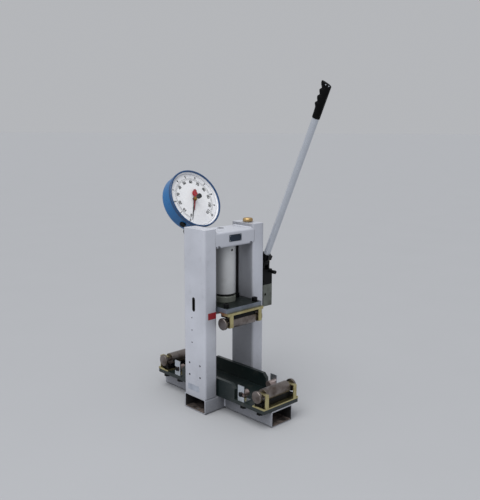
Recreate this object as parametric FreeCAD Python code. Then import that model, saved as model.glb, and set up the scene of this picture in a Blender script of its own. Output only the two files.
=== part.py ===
import FreeCAD, Part
import math
import os

V = FreeCAD.Vector
X_AXIS = V(1, 0, 0)
Y_AXIS = V(0, 1, 0)
Z_AXIS = V(0, 0, 1)

# Clearances, in millimetres like every other length here
RUNNING_FIT = 0.05
FREE_GAP = 0.3
SIDE_GAP = 2.0

# Specimen that the machine takes
SPECIMEN_SIDE = 150.0
SPECIMEN_BASE = 116.7
SPECIMEN_CLEARANCE = 3.0
UPPER_DAYLIGHT = 6.0

# Frame of square-cut hollow section
SECTION_WALL = 4.0
SECTION_CORNER = 7.0
COLUMN_WIDTH = 50.0
COLUMN_DEPTH = 100.0
FRAME_HEIGHT = 586.0
CAP_WALL = 4.0
BASE_HEIGHT = 50.0
FOOT_WIDTH = 90.0
FOOT_REACH = 257.0
CROSSHEAD_HEIGHT = 50.0
CROSSHEAD_DROP = 12.0
COPE_RADIUS = 8.0
COPE_INSET = 9.0
HOSE_HOLE_RADIUS = 11.0
HOSE_HOLE_Y = 19.0
BENCH_HOLE_RADIUS = 4.5
BENCH_HOLE_INSET = 10.0

# Slot and drillings in the left column's outer wall
SLOT_WIDTH = 8.0
SLOT_LOW = 329.0
SLOT_HIGH = 369.0
SLOT_Y = 3.0
PILOT_RADIUS = 2.5
PILOT_Y = 12.0
PILOT_LOW = 224.5
PILOT_PITCH = 40.0
PLUG_RADIUS = 3.5
PLUG_HALF_GAP = 25.0
PLUG_LOW = 116.0
PLUG_PITCH = 39.0

# Filler on the right column, which is the oil tank
FILLER_NECK_RADIUS = 11.0
FILLER_NECK_RISE = 3.0
FILLER_BORE_RADIUS = 8.0
FILLER_CAP_RADIUS = 16.5
FILLER_CAP_HEIGHT = 10.0
FILLER_PLUG_DEPTH = 9.0
FILLER_CAP_BEVEL = 3.0

# Bed on the base
BED_THICKNESS = 12.0
BED_REACH = 255.0
CHEEK_WALL = 12.0
CHEEK_HEIGHT = 46.0
CHEEK_REACH = 127.0
CHEEK_NOSE = 14.0
BED_BOLT_RADIUS = 5.0
BED_BOLT_HEAD = 19.0
BED_BOLT_HEAD_HEIGHT = 11.0
STOP_NUT = 17.0
STOP_NUT_HEIGHT = 8.0
BED_BOLT_X = 62.0

# Slotted stop brackets and their shouldered pins
STOP_Y = 154.0
STOP_WIDTH = 27.0
STOP_HEIGHT = 51.0
STOP_WALL = 3.0
STOP_FOOT = 30.0
STOP_SLOT_HEIGHT = 14.0
STOP_SLOT_LOW = 16.0
STOP_SLOT_BLIND = 5.0
STOP_PIN_TIP = 4.0
STOP_PIN_HEAD_RADIUS = 11.0
STOP_PIN_HEAD_LENGTH = 24.0

# Rollers, their saddles and their guards
ROLLER_RADIUS = 19.0
ROLLER_HALF_LENGTH = 80.0
ROLLER_END_DISC = 8.0
JOURNAL_RADIUS = 7.5
JOURNAL_LENGTH = 20.0
ROLLER_CHAMFER = 1.2
LOWER_HALF_SPAN = 225.0
UPPER_HALF_SPAN = 75.0
SADDLE_HALF_DEPTH = 15.0
SADDLE_SLAB = 12.0
SADDLE_OVERHANG = 18.0
SADDLE_END_GAP = 1.0
GUARD_WALL = 4.0
LOWER_GUARD_REACH = 26.0
UPPER_GUARD_REACH = 22.0
GUARD_BACK = 20.0
LOWER_SKIRT = 6.0
UPPER_SKIRT = 9.0
GUARD_SIDE_LENGTH = 32.0
GUARD_TAB_WIDTH = 14.0
GUARD_TONGUE_WALL = 3.0
GUARD_TONGUE_PAST = 7.0

# Platen and the round block that spreads the ram's load
PLATEN_BASE = 327.5
PLATEN_THICKNESS = 14.5
PLATEN_REACH = 93.0
PLATEN_EDGE = 2.0
BLOCK_THICKNESS = 18.0
BLOCK_RADIUS = 36.0
PLATEN_SCREW_RADIUS = 6.0
PLATEN_SCREW_HEAD_RADIUS = 9.0
PLATEN_SCREW_HEAD_HEIGHT = 12.0
PLATEN_SCREW_GRIP = 8.0
PLATEN_SCREW_INSET = 14.0
HEX_SOCKET = 10.0
HEX_SOCKET_DEPTH = 6.0

# Hydraulic cylinder under the crosshead
CYLINDER_RADIUS = 35.0
CYLINDER_BORE = 25.0
CYLINDER_BASE = 368.0
CYLINDER_HEAD = 18.0
SPIGOT_RADIUS = 20.0
SPIGOT_HEIGHT = 18.0
SPIGOT_PORT_RADIUS = 5.0
GLAND_FLANGE = 4.0
GLAND_DEPTH = 16.0
RAM_RADIUS = 17.0
RAM_STUD_RADIUS = 10.0
RAM_STUD_LENGTH = 9.0
RAM_STROKE = 40.0
PISTON_HEIGHT = 16.0
SEAL_HEIGHT = 6.0
SEAL_DEPTH = 4.0
SPRING_WIRE = 4.4
SPRING_TURNS = 8
SPRING_STEPS = 12
SPRING_SIDES = 6
RING_NUT_HEIGHT = 9.0
RING_NUT_ACROSS = 58.0
BLEED_DROP = 14.0
BLEED_RADIUS = 4.0
BLEED_DEPTH = 8.0

# Guide rods beside the cylinder
GUIDE_X = 56.0
GUIDE_RADIUS = 4.5
GUIDE_STUD_RADIUS = 3.5
GUIDE_STUD_LENGTH = 10.0
GUIDE_COLLAR_RADIUS = 7.5
GUIDE_COLLAR_HEIGHT = 14.0
BUSH_FLANGE_RADIUS = 9.0
BUSH_FLANGE_HEIGHT = 8.0
BUSH_BODY_RADIUS = 7.0

# Hand pump on the right column
PUMP_WIDTH = 42.0
PUMP_FRONT = 50.0
PUMP_DEPTH = 80.0
PUMP_BASE = 305.0
PUMP_JOIN = 378.0
PUMP_TOP = 428.0
PUMP_EDGE = 2.5
PUMP_AXIS_INSET = 20.0
PORT_RADIUS = 4.5
PORT_DEPTH = 6.0
PORT_INSET = 9.0
PORT_HEIGHT = 40.0
PIVOT_Y = -31.0
PIVOT_Z = 450.0
CRANK_LENGTH = 28.0
CRANK_REST = -4.0
CRANK_HALF_SWING = 26.0
PIVOT_RADIUS = 5.0
CRANK_PIN_RADIUS = 4.0
EAR_WALL = 6.0
EAR_INSIDE = 16.0
EAR_RADIUS = 13.0
EAR_GAP = 0.5
HUB_RADIUS = 14.0
HUB_NECK = 11.0
CRANK_EYE = 3.5
PLUNGER_RADIUS = 8.0
TONGUE_WIDTH = 8.0
TONGUE_HALF_DEPTH = 10.0
TONGUE_BELOW_PIN = 8.2
TONGUE_ABOVE_PIN = 9.0
TONGUE_CORNER = 4.0
SHOULDER_BELOW_PIN = 14.0
PLUNGER_BASE = 368.0
PLUNGER_BORE_BASE = 352.0
PIN_END = 1.5
PIN_HEAD_RADIUS = 8.0
PIN_HEAD_HEIGHT = 3.5
PIVOT_NUT_HEIGHT = 6.0

# Release valve on the pump's front
VALVE_X_INSET = 9.0
VALVE_Z = 420.0
VALVE_STEM_RADIUS = 3.0
VALVE_STEM_LENGTH = 8.0
VALVE_STEM_SEAT = 10.0
VALVE_KNOB_RADIUS = 6.0
VALVE_KNOB_LENGTH = 14.0
VALVE_FLUTES = 6
VALVE_FLUTE_RADIUS = 1.5
VALVE_FLUTE_CIRCLE = 6.6

# Lever, which leans towards the front
LEVER_LEAN = 24.0
LEVER_RADIUS = 10.8
LEVER_BORE = 9.0
LEVER_START = 20.0
LEVER_LENGTH = 510.0
SOCKET_WALL = 3.5
SOCKET_START = 14.0
SOCKET_LENGTH = 20.0
SOCKET_LUG_HEIGHT = 5.0
SOCKET_LUG_HALF = 9.0
GRIP_START = 513.0
GRIP_LENGTH = 116.0
GRIP_RADIUS = 13.8
GRIP_GROOVES = 4
GRIP_GROOVE_DEPTH = 4.0
GRIP_GROOVE_PITCH = 21.0
GRIP_GROOVE_LAND = 1.5
GRIP_FIRST_GROOVE = 28.0
GRIP_TIP_SLOPE = 36.0
GRIP_TURN = 45.0

# Dial gauge behind the crosshead
GAUGE_Y = 138.0
GAUGE_Z = 660.0
GAUGE_TILT = 27.5
GAUGE_RADIUS = 100.5
CASE_RADIUS = 98.5
CASE_DEPTH = 57.0
CASE_WALL = 2.5
CASE_CORNER = 10.0
CASE_CORNER_STEPS = 3
BEZEL_INSIDE = 95.0
BEZEL_DEPTH = 9.0
BEZEL_EDGE = 1.5
BEZEL_LIP = 3.0
GLASS_THICKNESS = 2.5
DIAL_DEPTH = 11.0
DIAL_THICKNESS = 1.2
POINTER_DEPTH = 8.4
POINTER_THICKNESS = 0.8
POINTER_LENGTH = 78.0
POINTER_TIP_WIDTH = 1.2
POINTER_TAIL = 25.0
POINTER_WIDTH = 7.0
HUB_DISC_RADIUS = 7.0
ARBOR_RADIUS = 2.0
FOLLOWER_DEPTH = 6.3
FOLLOWER_LENGTH = 42.0
FOLLOWER_STUD_RADIUS = 3.2
FOLLOWER_ANGLE = 203.0
FOLLOWER_TAIL = 30.0
TAIL_DISC_RADIUS = 6.5
RESET_STEM_LENGTH = 15.0
RESET_KNOB_RADIUS = 8.0
RESET_KNOB_LENGTH = 10.0
POINTER_ANGLE = 207.0
MOVEMENT_RADIUS = 24.0
MOVEMENT_DEPTH = 22.0
MOVEMENT_PLATE = 3.0
MOVEMENT_PILLAR_RADIUS = 4.0
STEM_ACROSS = 20.0
STEM_DEPTH = 26.0
STEM_LENGTH = 14.0
STEM_THREAD_RADIUS = 6.5
STEM_THREAD_LENGTH = 12.0
EAR_PIVOT_DROP = 58.0
EAR_PIVOT_STANDOFF = 12.0
EAR_EYE_RADIUS = 10.0
CASE_EAR_WALL = 5.0
BRACKET_WIDTH = 36.0
BRACKET_WALL = 8.0
BRACKET_ARM_Z = 530.0
BRACKET_BACK = 8.0
HOSE_WINDOW = 24.0
HOSE_WINDOW_FRONT = 66.0
HOSE_WINDOW_BACK = 152.0
TILT_SCREW_RADIUS = 4.0
TILT_KNOB_RADIUS = 10.0
TILT_KNOB_LENGTH = 10.0

# Sizes that follow from the ones above
CLEAR_HALF = (SPECIMEN_SIDE + 2 * SPECIMEN_CLEARANCE) / 2
OUTER_HALF = CLEAR_HALF + COLUMN_WIDTH
COLUMN_X = CLEAR_HALF + COLUMN_WIDTH / 2
HALF_DEPTH = COLUMN_DEPTH / 2
CROSSHEAD_TOP = FRAME_HEIGHT - CROSSHEAD_DROP
CROSSHEAD_BASE = CROSSHEAD_TOP - CROSSHEAD_HEIGHT
BED_HALF_WIDTH = CLEAR_HALF - SIDE_GAP
BED_TOP = BASE_HEIGHT + BED_THICKNESS
LOWER_ROLLER_Z = SPECIMEN_BASE - ROLLER_RADIUS
UPPER_ROLLER_Z = SPECIMEN_BASE + SPECIMEN_SIDE + UPPER_DAYLIGHT + ROLLER_RADIUS
PLATEN_TOP = PLATEN_BASE + PLATEN_THICKNESS
BLOCK_TOP = PLATEN_TOP + BLOCK_THICKNESS
BODY_HALF = ROLLER_HALF_LENGTH - ROLLER_END_DISC - JOURNAL_LENGTH
TAB_X = BODY_HALF + JOURNAL_LENGTH / 2
PUMP_INNER = OUTER_HALF
PUMP_OUTER = PUMP_INNER + PUMP_WIDTH
PUMP_X = PUMP_INNER + PUMP_AXIS_INSET
HUB_HALF_WIDTH = EAR_INSIDE / 2 - EAR_GAP


def box(low, high):
    """Block between two opposite corners."""
    size = V(*high) - V(*low)
    return Part.makeBox(size.x, size.y, size.z, V(*low))


def rod(radius, start, end):
    """Round bar from one point to another."""
    along = V(*end) - V(*start)
    return Part.makeCylinder(radius, along.Length, V(*start), along)


def ring(outer, inner, start, end):
    """Round tube from one point to another."""
    along = (V(*end) - V(*start)).normalize()
    past = along * SIDE_GAP
    bore = rod(inner, tuple(V(*start) - past), tuple(V(*end) + past))
    return rod(outer, start, end).cut(bore)


def prism(points, along):
    """Solid made by moving a closed outline along a vector."""
    outline = [V(*point) for point in points]
    wire = Part.makePolygon(outline + [outline[0]])
    return Part.Face(wire).extrude(V(*along))


def turned(points):
    """Solid of revolution about Z from (radius, height) points."""
    outline = [V(radius, 0, height) for radius, height in points]
    wire = Part.makePolygon(outline + [outline[0]])
    return Part.Face(wire).revolve(V(0, 0, 0), Z_AXIS, 360)


def hexagon(across, start, end):
    """Six-sided bar from one point to another, given its size across flats."""
    along = V(*end) - V(*start)
    corner = across / math.sqrt(3)
    side = V(along).cross(Z_AXIS if abs(along.z) < 0.5 * along.Length else X_AXIS).normalize()
    other = V(along).cross(side).normalize()
    points = []
    for step in range(6):
        angle = math.radians(60 * step)
        points.append(V(*start) + side * (corner * math.cos(angle)) + other * (corner * math.sin(angle)))
    return Part.Face(Part.makePolygon(points + [points[0]])).extrude(along)


def rounded(shape, radius, axis):
    """Rounds the edges of a block that run along an axis."""
    edges = []
    for edge in shape.Edges:
        direction = edge.tangentAt(edge.FirstParameter)
        if abs(direction.dot(axis)) > 0.999:
            edges.append(edge)
    return shape.makeFillet(radius, edges)


def hollow_section(low, high, axis):
    """Rectangular tube with rounded corners, open at both ends along an axis."""
    wall = SECTION_WALL
    outside = rounded(box(low, high), SECTION_CORNER, axis)
    inner_low = V(*low) + V(wall, wall, wall) - axis * (2 * wall)
    inner_high = V(*high) - V(wall, wall, wall) + axis * (2 * wall)
    inside = rounded(box(tuple(inner_low), tuple(inner_high)), SECTION_CORNER - wall, axis)
    return outside.cut(inside)


def both_sides(shape, mirrored_across):
    """A shape and its mirror image about a plane through the origin."""
    return [shape, shape.mirror(V(0, 0, 0), mirrored_across)]


def bent_strip(path, wall, low_x, high_x):
    """Bent flat strip whose middle follows (y, z) points, with rounded bends."""
    half = wall / 2
    width = high_x - low_x
    pieces = []
    for first, second in zip(path, path[1:]):
        start = V(low_x, *first)
        end = V(low_x, *second)
        side = (end - start).cross(X_AXIS).normalize() * half
        corners = [start + side, end + side, end - side, start - side]
        outline = Part.makePolygon(corners + [corners[0]])
        pieces.append(Part.Face(outline).extrude(V(width, 0, 0)))
    for point in path[1:-1]:
        pieces.append(Part.makeCylinder(half, width, V(low_x, *point), X_AXIS))
    return joined(pieces)


def joined(pieces):
    """One solid from pieces that meet."""
    whole = pieces[0]
    for piece in pieces[1:]:
        whole = whole.fuse(piece)
    return whole.removeSplitter()


def base_cross_tube():
    """Cross tube under the columns, with a bench hole near each end."""
    tube = hollow_section((-OUTER_HALF, -HALF_DEPTH, 0), (OUTER_HALF, HALF_DEPTH, BASE_HEIGHT), X_AXIS)
    hole_x = OUTER_HALF - BENCH_HOLE_INSET
    for x in (-hole_x, hole_x):
        tube = tube.cut(rod(BENCH_HOLE_RADIUS, (x, 0, -SECTION_WALL), (x, 0, 2 * SECTION_WALL)))
    return tube


def foot_tubes():
    """Tubes that reach forwards and backwards from the cross tube."""
    half = FOOT_WIDTH / 2
    front = hollow_section((-half, -FOOT_REACH, 0), (half, -HALF_DEPTH, BASE_HEIGHT), Y_AXIS)
    return both_sides(front, Y_AXIS)


def column_tube():
    """Right column's tube with its welded end caps, without any drilling."""
    low = (CLEAR_HALF, -HALF_DEPTH, BASE_HEIGHT)
    high = (OUTER_HALF, HALF_DEPTH, FRAME_HEIGHT)
    tube = hollow_section(low, high, Z_AXIS)
    wall = SECTION_WALL
    inner_low = V(*low) + V(wall, wall, 0)
    inner_high = V(*high) - V(wall, wall, 0)
    caps = []
    for bottom in (BASE_HEIGHT, FRAME_HEIGHT - CAP_WALL):
        cap = box((inner_low.x, inner_low.y, bottom), (inner_high.x, inner_high.y, bottom + CAP_WALL))
        caps.append(rounded(cap, SECTION_CORNER - wall, Z_AXIS))
    return joined([tube] + caps)


def left_column():
    """Column on the gauge side, with the slot and drillings in its outer wall."""
    column = column_tube().mirror(V(0, 0, 0), X_AXIS)
    outside = -OUTER_HALF - SECTION_WALL
    inside = -OUTER_HALF + 1.5 * SECTION_WALL
    half = SLOT_WIDTH / 2
    low = SLOT_LOW + half
    high = SLOT_HIGH - half
    cuts = [box((outside, SLOT_Y - half, low), (inside, SLOT_Y + half, high))]
    for z in (low, high):
        cuts.append(rod(half, (outside, SLOT_Y, z), (inside, SLOT_Y, z)))
    for row in range(3):
        z = PILOT_LOW + row * PILOT_PITCH
        cuts.append(rod(PILOT_RADIUS, (outside, PILOT_Y, z), (inside, PILOT_Y, z)))
    for row in range(2):
        for y in (-PLUG_HALF_GAP, PLUG_HALF_GAP):
            z = PLUG_LOW + row * PLUG_PITCH
            cuts.append(rod(PLUG_RADIUS, (outside, y, z), (inside, y, z)))
    for cut in cuts:
        column = column.cut(cut)
    return column


def right_column():
    """Column on the pump side, closed as a tank, with the filler's neck on its cap."""
    top = FRAME_HEIGHT + FILLER_NECK_RISE
    neck = rod(FILLER_NECK_RADIUS, (COLUMN_X, 0, FRAME_HEIGHT), (COLUMN_X, 0, top))
    column = joined([column_tube(), neck])
    below = FRAME_HEIGHT - 2 * CAP_WALL
    return column.cut(rod(FILLER_BORE_RADIUS, (COLUMN_X, 0, below), (COLUMN_X, 0, top + SIDE_GAP)))


def filler_cap():
    """Bevelled cap with its plug in the filler's neck."""
    base = FRAME_HEIGHT + FILLER_NECK_RISE
    top = base + FILLER_CAP_HEIGHT
    edge = FILLER_CAP_RADIUS
    plug = FILLER_BORE_RADIUS - RUNNING_FIT
    outline = [(0, base - FILLER_PLUG_DEPTH), (plug, base - FILLER_PLUG_DEPTH), (plug, base)]
    outline += [(edge, base), (edge, top - FILLER_CAP_BEVEL), (edge - FILLER_CAP_BEVEL, top), (0, top)]
    cap = turned(outline)
    cap.translate(V(COLUMN_X, 0, 0))
    return cap


def crosshead():
    """Tube between the columns, coped at its lower corners and bored for the cylinder."""
    low = (-CLEAR_HALF, -HALF_DEPTH, CROSSHEAD_BASE)
    high = (CLEAR_HALF, HALF_DEPTH, CROSSHEAD_TOP)
    tube = hollow_section(low, high, X_AXIS)
    cope_x = CLEAR_HALF - COPE_INSET
    past = HALF_DEPTH + SECTION_WALL
    cope_z = CROSSHEAD_BASE
    for x in (-cope_x, cope_x):
        for side in (-1, 1):
            edge = (x, side * past, cope_z)
            back = (x, side * (HALF_DEPTH - SECTION_CORNER), cope_z)
            tube = tube.cut(rod(COPE_RADIUS, edge, back))
    floor_low = CROSSHEAD_BASE - SECTION_WALL
    floor_high = CROSSHEAD_BASE + 2 * SECTION_WALL
    tube = tube.cut(rod(SPIGOT_RADIUS + RUNNING_FIT, (0, 0, floor_low), (0, 0, floor_high)))
    for x in (-GUIDE_X, GUIDE_X):
        tube = tube.cut(rod(BUSH_BODY_RADIUS + RUNNING_FIT, (x, 0, floor_low), (x, 0, floor_high)))
    hole_low = (0, HOSE_HOLE_Y, CROSSHEAD_TOP - 2 * SECTION_WALL)
    hole_high = (0, HOSE_HOLE_Y, CROSSHEAD_TOP + SECTION_WALL)
    return tube.cut(rod(HOSE_HOLE_RADIUS, hole_low, hole_high))


def bed_plate():
    """Long plate through the portal that carries the lower rollers."""
    half = BED_HALF_WIDTH
    plate = box((-half, -BED_REACH, BASE_HEIGHT), (half, BED_REACH, BED_TOP))
    plate = rounded(plate, PLATEN_EDGE, Z_AXIS)
    for x in (-BED_BOLT_X, BED_BOLT_X):
        for y in bolt_rows():
            hole = rod(BED_BOLT_RADIUS + FREE_GAP, (x, y, BASE_HEIGHT - SIDE_GAP), (x, y, BED_TOP + SIDE_GAP))
            plate = plate.cut(hole)
    return plate


def bolt_rows():
    """Places along the bed of its bolts."""
    return (-LOWER_HALF_SPAN, -STOP_Y, STOP_Y, LOWER_HALF_SPAN)


def bed_cheeks():
    """Upright bars along the bed's edges, with bevelled noses."""
    inner = BED_HALF_WIDTH - CHEEK_WALL
    top = BED_TOP + CHEEK_HEIGHT
    nose = CHEEK_REACH - CHEEK_NOSE
    outline = [(-BED_HALF_WIDTH, -CHEEK_REACH, BED_TOP), (-BED_HALF_WIDTH, CHEEK_REACH, BED_TOP)]
    outline += [(-BED_HALF_WIDTH, CHEEK_REACH, top - CHEEK_NOSE), (-BED_HALF_WIDTH, nose, top)]
    outline += [(-BED_HALF_WIDTH, -nose, top), (-BED_HALF_WIDTH, -CHEEK_REACH, top - CHEEK_NOSE)]
    cheek = prism(outline, (BED_HALF_WIDTH - inner, 0, 0))
    return both_sides(cheek, X_AXIS)


def bed_bolts():
    """Bolts that come up through the bed into the saddles and stop brackets."""
    bolts = []
    for x in (-BED_BOLT_X, BED_BOLT_X):
        for y in bolt_rows():
            saddle_row = abs(y) == LOWER_HALF_SPAN
            top = BED_TOP + (GUARD_WALL + SADDLE_SLAB / 2 if saddle_row else STOP_WALL)
            head = hexagon(BED_BOLT_HEAD, (x, y, BASE_HEIGHT - BED_BOLT_HEAD_HEIGHT), (x, y, BASE_HEIGHT))
            shank = rod(BED_BOLT_RADIUS, (x, y, BASE_HEIGHT), (x, y, top))
            if not saddle_row:
                nut = hexagon(STOP_NUT, (x, y, top), (x, y, top + STOP_NUT_HEIGHT))
                shank = joined([shank, nut])
            bolts.append(joined([head, shank]))
    return Part.makeCompound(bolts)


def stop_bracket():
    """Slotted angle bracket at the front left, with its foot under a bed bolt."""
    half = STOP_WIDTH / 2
    outer = -BED_HALF_WIDTH + SIDE_GAP
    top = BED_TOP + STOP_HEIGHT
    leaf = box((outer, -STOP_Y - half, BED_TOP), (outer + STOP_WALL, -STOP_Y + half, top))
    foot = box((outer, -STOP_Y - half, BED_TOP), (outer + STOP_FOOT, -STOP_Y + half, BED_TOP + STOP_WALL))
    bracket = joined([leaf, foot])
    slot_low = BED_TOP + STOP_SLOT_LOW
    slot = box(
        (outer - STOP_WALL, -STOP_Y - half - STOP_WALL, slot_low),
        (outer + 2 * STOP_WALL, -STOP_Y + half - STOP_SLOT_BLIND, slot_low + STOP_SLOT_HEIGHT),
    )
    hole = rod(
        BED_BOLT_RADIUS + RUNNING_FIT,
        (-BED_BOLT_X, -STOP_Y, BED_TOP - STOP_WALL),
        (-BED_BOLT_X, -STOP_Y, BED_TOP + 2 * STOP_WALL),
    )
    return bracket.cut(slot).cut(hole)


def stop_pins():
    """Shouldered pins that lie in the brackets' slots."""
    outer = -BED_HALF_WIDTH + SIDE_GAP
    z = BED_TOP + STOP_SLOT_LOW + STOP_SLOT_HEIGHT / 2
    radius = STOP_SLOT_HEIGHT / 2 - RUNNING_FIT
    shoulder = outer + STOP_WALL
    shank = rod(radius, (outer - STOP_PIN_TIP, -STOP_Y, z), (shoulder, -STOP_Y, z))
    head_end = shoulder + STOP_PIN_HEAD_LENGTH
    head = rod(STOP_PIN_HEAD_RADIUS, (shoulder, -STOP_Y, z), (head_end, -STOP_Y, z))
    pin = joined([shank, head])
    pins = []
    for front in both_sides(pin, X_AXIS):
        pins.extend(both_sides(front, Y_AXIS))
    return Part.makeCompound(pins)


def roller(y, z):
    """Roller with two journals and end discs, lying along X."""
    edge = ROLLER_CHAMFER
    big = ROLLER_RADIUS
    small = JOURNAL_RADIUS
    end = ROLLER_HALF_LENGTH
    disc = end - ROLLER_END_DISC
    half = [(0, end), (big - edge, end), (big, end - edge), (big, disc), (small, disc)]
    half += [(small, BODY_HALF), (big, BODY_HALF)]
    other = [(radius, -height) for radius, height in reversed(half)]
    shape = turned(half + other)
    shape.rotate(V(0, 0, 0), Y_AXIS, 90)
    shape.translate(V(0, y, z))
    return shape


def saddle(mount_z, roller_z, screw_radius):
    """Block under or over a roller, hollowed to its radius, with drilled end slabs."""
    rise = abs(roller_z - mount_z)
    half = SADDLE_HALF_DEPTH
    grip = ROLLER_RADIUS + RUNNING_FIT
    lip = rise - math.sqrt(grip ** 2 - half ** 2)
    body_end = BODY_HALF - SADDLE_END_GAP
    slab_end = BODY_HALF + SADDLE_OVERHANG
    body = box((-body_end, -half, 0), (body_end, half, lip))
    slab = box((-slab_end, -half, 0), (slab_end, half, SADDLE_SLAB))
    block = joined([body, slab]).cut(rod(grip, (-BODY_HALF, 0, rise), (BODY_HALF, 0, rise)))
    for x in (-BED_BOLT_X, BED_BOLT_X):
        block = block.cut(rod(screw_radius, (x, 0, -SIDE_GAP), (x, 0, PLATEN_SCREW_GRIP)))
    if roller_z < mount_z:
        block.rotate(V(0, 0, 0), X_AXIS, 180)
    block.translate(V(0, 0, mount_z))
    return block


def guard(mount_z, roller_z, reach, skirt, screw_radius):
    """Folded sheet under or over a roller with tabs whose tongues hold its journals."""
    rise = abs(roller_z - mount_z)
    wall = GUARD_WALL
    wide = BED_HALF_WIDTH
    outside = -reach - wall
    floor = box((-wide, outside, 0), (wide, GUARD_BACK, wall))
    lip = box((-wide, outside, 0), (wide, -reach, skirt - SIDE_GAP))
    pieces = [floor, lip]
    for x in (-wide, wide - wall):
        pieces.append(box((x, outside, 0), (x + wall, outside + GUARD_SIDE_LENGTH, skirt)))
    middle = outside + wall / 2
    tongue = rise + JOURNAL_RADIUS + FREE_GAP + GUARD_TONGUE_WALL / 2
    for x in (-TAB_X, TAB_X):
        low_x = x - GUARD_TAB_WIDTH / 2
        upright = [(middle, wall / 2), (middle, tongue), (GUARD_TONGUE_PAST, tongue)]
        pieces.append(bent_strip(upright, GUARD_TONGUE_WALL, low_x, low_x + GUARD_TAB_WIDTH))
    sheet = joined(pieces)
    for x in (-BED_BOLT_X, BED_BOLT_X):
        sheet = sheet.cut(rod(screw_radius, (x, 0, -wall), (x, 0, 2 * wall)))
    if roller_z < mount_z:
        sheet = sheet.mirror(V(0, 0, 0), Z_AXIS)
    sheet.translate(V(0, 0, mount_z))
    return sheet


def support_set(half_span, mount_z, roller_z, reach, skirt, screw_radius):
    """Front saddle and guard, and their mirror images at the rear."""
    hole = screw_radius + RUNNING_FIT
    plate_side = GUARD_WALL if roller_z > mount_z else -GUARD_WALL
    front_saddle = saddle(mount_z + plate_side, roller_z, hole)
    front_guard = guard(mount_z, roller_z, reach, skirt, hole)
    for shape in (front_saddle, front_guard):
        shape.translate(V(0, -half_span, 0))
    return both_sides(front_saddle, Y_AXIS), both_sides(front_guard, Y_AXIS)


def platen():
    """Plate over the specimen that carries the upper saddles and the guide rods."""
    half = BED_HALF_WIDTH
    plate = box((-half, -PLATEN_REACH, PLATEN_BASE), (half, PLATEN_REACH, PLATEN_TOP))
    plate = rounded(plate, PLATEN_EDGE, Z_AXIS)
    low = PLATEN_BASE - SIDE_GAP
    past = PLATEN_TOP + SIDE_GAP
    for x, y in platen_screw_places():
        plate = plate.cut(rod(PLATEN_SCREW_RADIUS + RUNNING_FIT, (x, y, low), (x, y, past)))
    for x in (-GUIDE_X, GUIDE_X):
        plate = plate.cut(rod(GUIDE_STUD_RADIUS, (x, 0, PLATEN_TOP - GUIDE_STUD_LENGTH), (x, 0, past)))
    return plate


def platen_screw_places():
    """Centres of the socket screws over the upper saddles."""
    places = []
    for x in (-BED_BOLT_X, BED_BOLT_X):
        for y in (-UPPER_HALF_SPAN, UPPER_HALF_SPAN):
            places.append((x, y))
    return places


def platen_screws():
    """Socket-head screws down through the platen and the guards into the saddles."""
    screws = []
    low = PLATEN_BASE - GUARD_WALL - PLATEN_SCREW_GRIP + SIDE_GAP
    top = PLATEN_TOP + PLATEN_SCREW_HEAD_HEIGHT
    for x, y in platen_screw_places():
        shank = rod(PLATEN_SCREW_RADIUS - RUNNING_FIT, (x, y, low), (x, y, PLATEN_TOP))
        head = rod(PLATEN_SCREW_HEAD_RADIUS, (x, y, PLATEN_TOP), (x, y, top))
        socket = hexagon(HEX_SOCKET, (x, y, top - HEX_SOCKET_DEPTH), (x, y, top + SIDE_GAP))
        screws.append(joined([head, shank]).cut(socket))
    return Part.makeCompound(screws)


def spreader_block():
    """Round block on the platen that takes the ram's stud."""
    rim = BLOCK_RADIUS
    stud = RAM_STUD_RADIUS
    seat = BLOCK_TOP - RAM_STUD_LENGTH
    outline = [(0, PLATEN_TOP), (rim, PLATEN_TOP), (rim, BLOCK_TOP - PLATEN_EDGE)]
    outline += [(rim - PLATEN_EDGE, BLOCK_TOP), (stud, BLOCK_TOP), (stud, seat), (0, seat)]
    return turned(outline)


def cylinder_barrel():
    """Cylinder closed at its top, with a drilled spigot that passes the crosshead's floor."""
    head_base = CROSSHEAD_BASE - CYLINDER_HEAD
    barrel = rod(CYLINDER_RADIUS, (0, 0, CYLINDER_BASE), (0, 0, CROSSHEAD_BASE))
    spigot = rod(SPIGOT_RADIUS, (0, 0, CROSSHEAD_BASE), (0, 0, CROSSHEAD_BASE + SPIGOT_HEIGHT))
    body = joined([barrel, spigot])
    body = body.cut(rod(CYLINDER_BORE, (0, 0, CYLINDER_BASE - SIDE_GAP), (0, 0, head_base)))
    port_top = CROSSHEAD_BASE + SPIGOT_HEIGHT + SIDE_GAP
    body = body.cut(rod(SPIGOT_PORT_RADIUS, (0, 0, head_base - SIDE_GAP), (0, 0, port_top)))
    z = CROSSHEAD_BASE - BLEED_DROP
    seat = CYLINDER_RADIUS - BLEED_DEPTH
    return body.cut(rod(BLEED_RADIUS, (0, -seat, z), (0, -CYLINDER_RADIUS - SIDE_GAP, z)))


def bleed_screw():
    """Socket screw that closes the cylinder's bleed hole."""
    z = CROSSHEAD_BASE - BLEED_DROP
    seat = CYLINDER_RADIUS - BLEED_DEPTH
    face = CYLINDER_RADIUS - 1.0
    body = rod(BLEED_RADIUS - RUNNING_FIT, (0, -seat, z), (0, -face, z))
    socket = hexagon(BLEED_RADIUS, (0, -face + BLEED_RADIUS / 2, z), (0, -face - SIDE_GAP, z))
    return body.cut(socket)


def ring_nut():
    """Nut on the cylinder's spigot, inside the crosshead."""
    base = CROSSHEAD_BASE + SECTION_WALL
    nut = hexagon(RING_NUT_ACROSS, (0, 0, base), (0, 0, base + RING_NUT_HEIGHT))
    bore = SPIGOT_RADIUS + RUNNING_FIT
    return nut.cut(rod(bore, (0, 0, base - SIDE_GAP), (0, 0, base + RING_NUT_HEIGHT + SIDE_GAP)))


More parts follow.
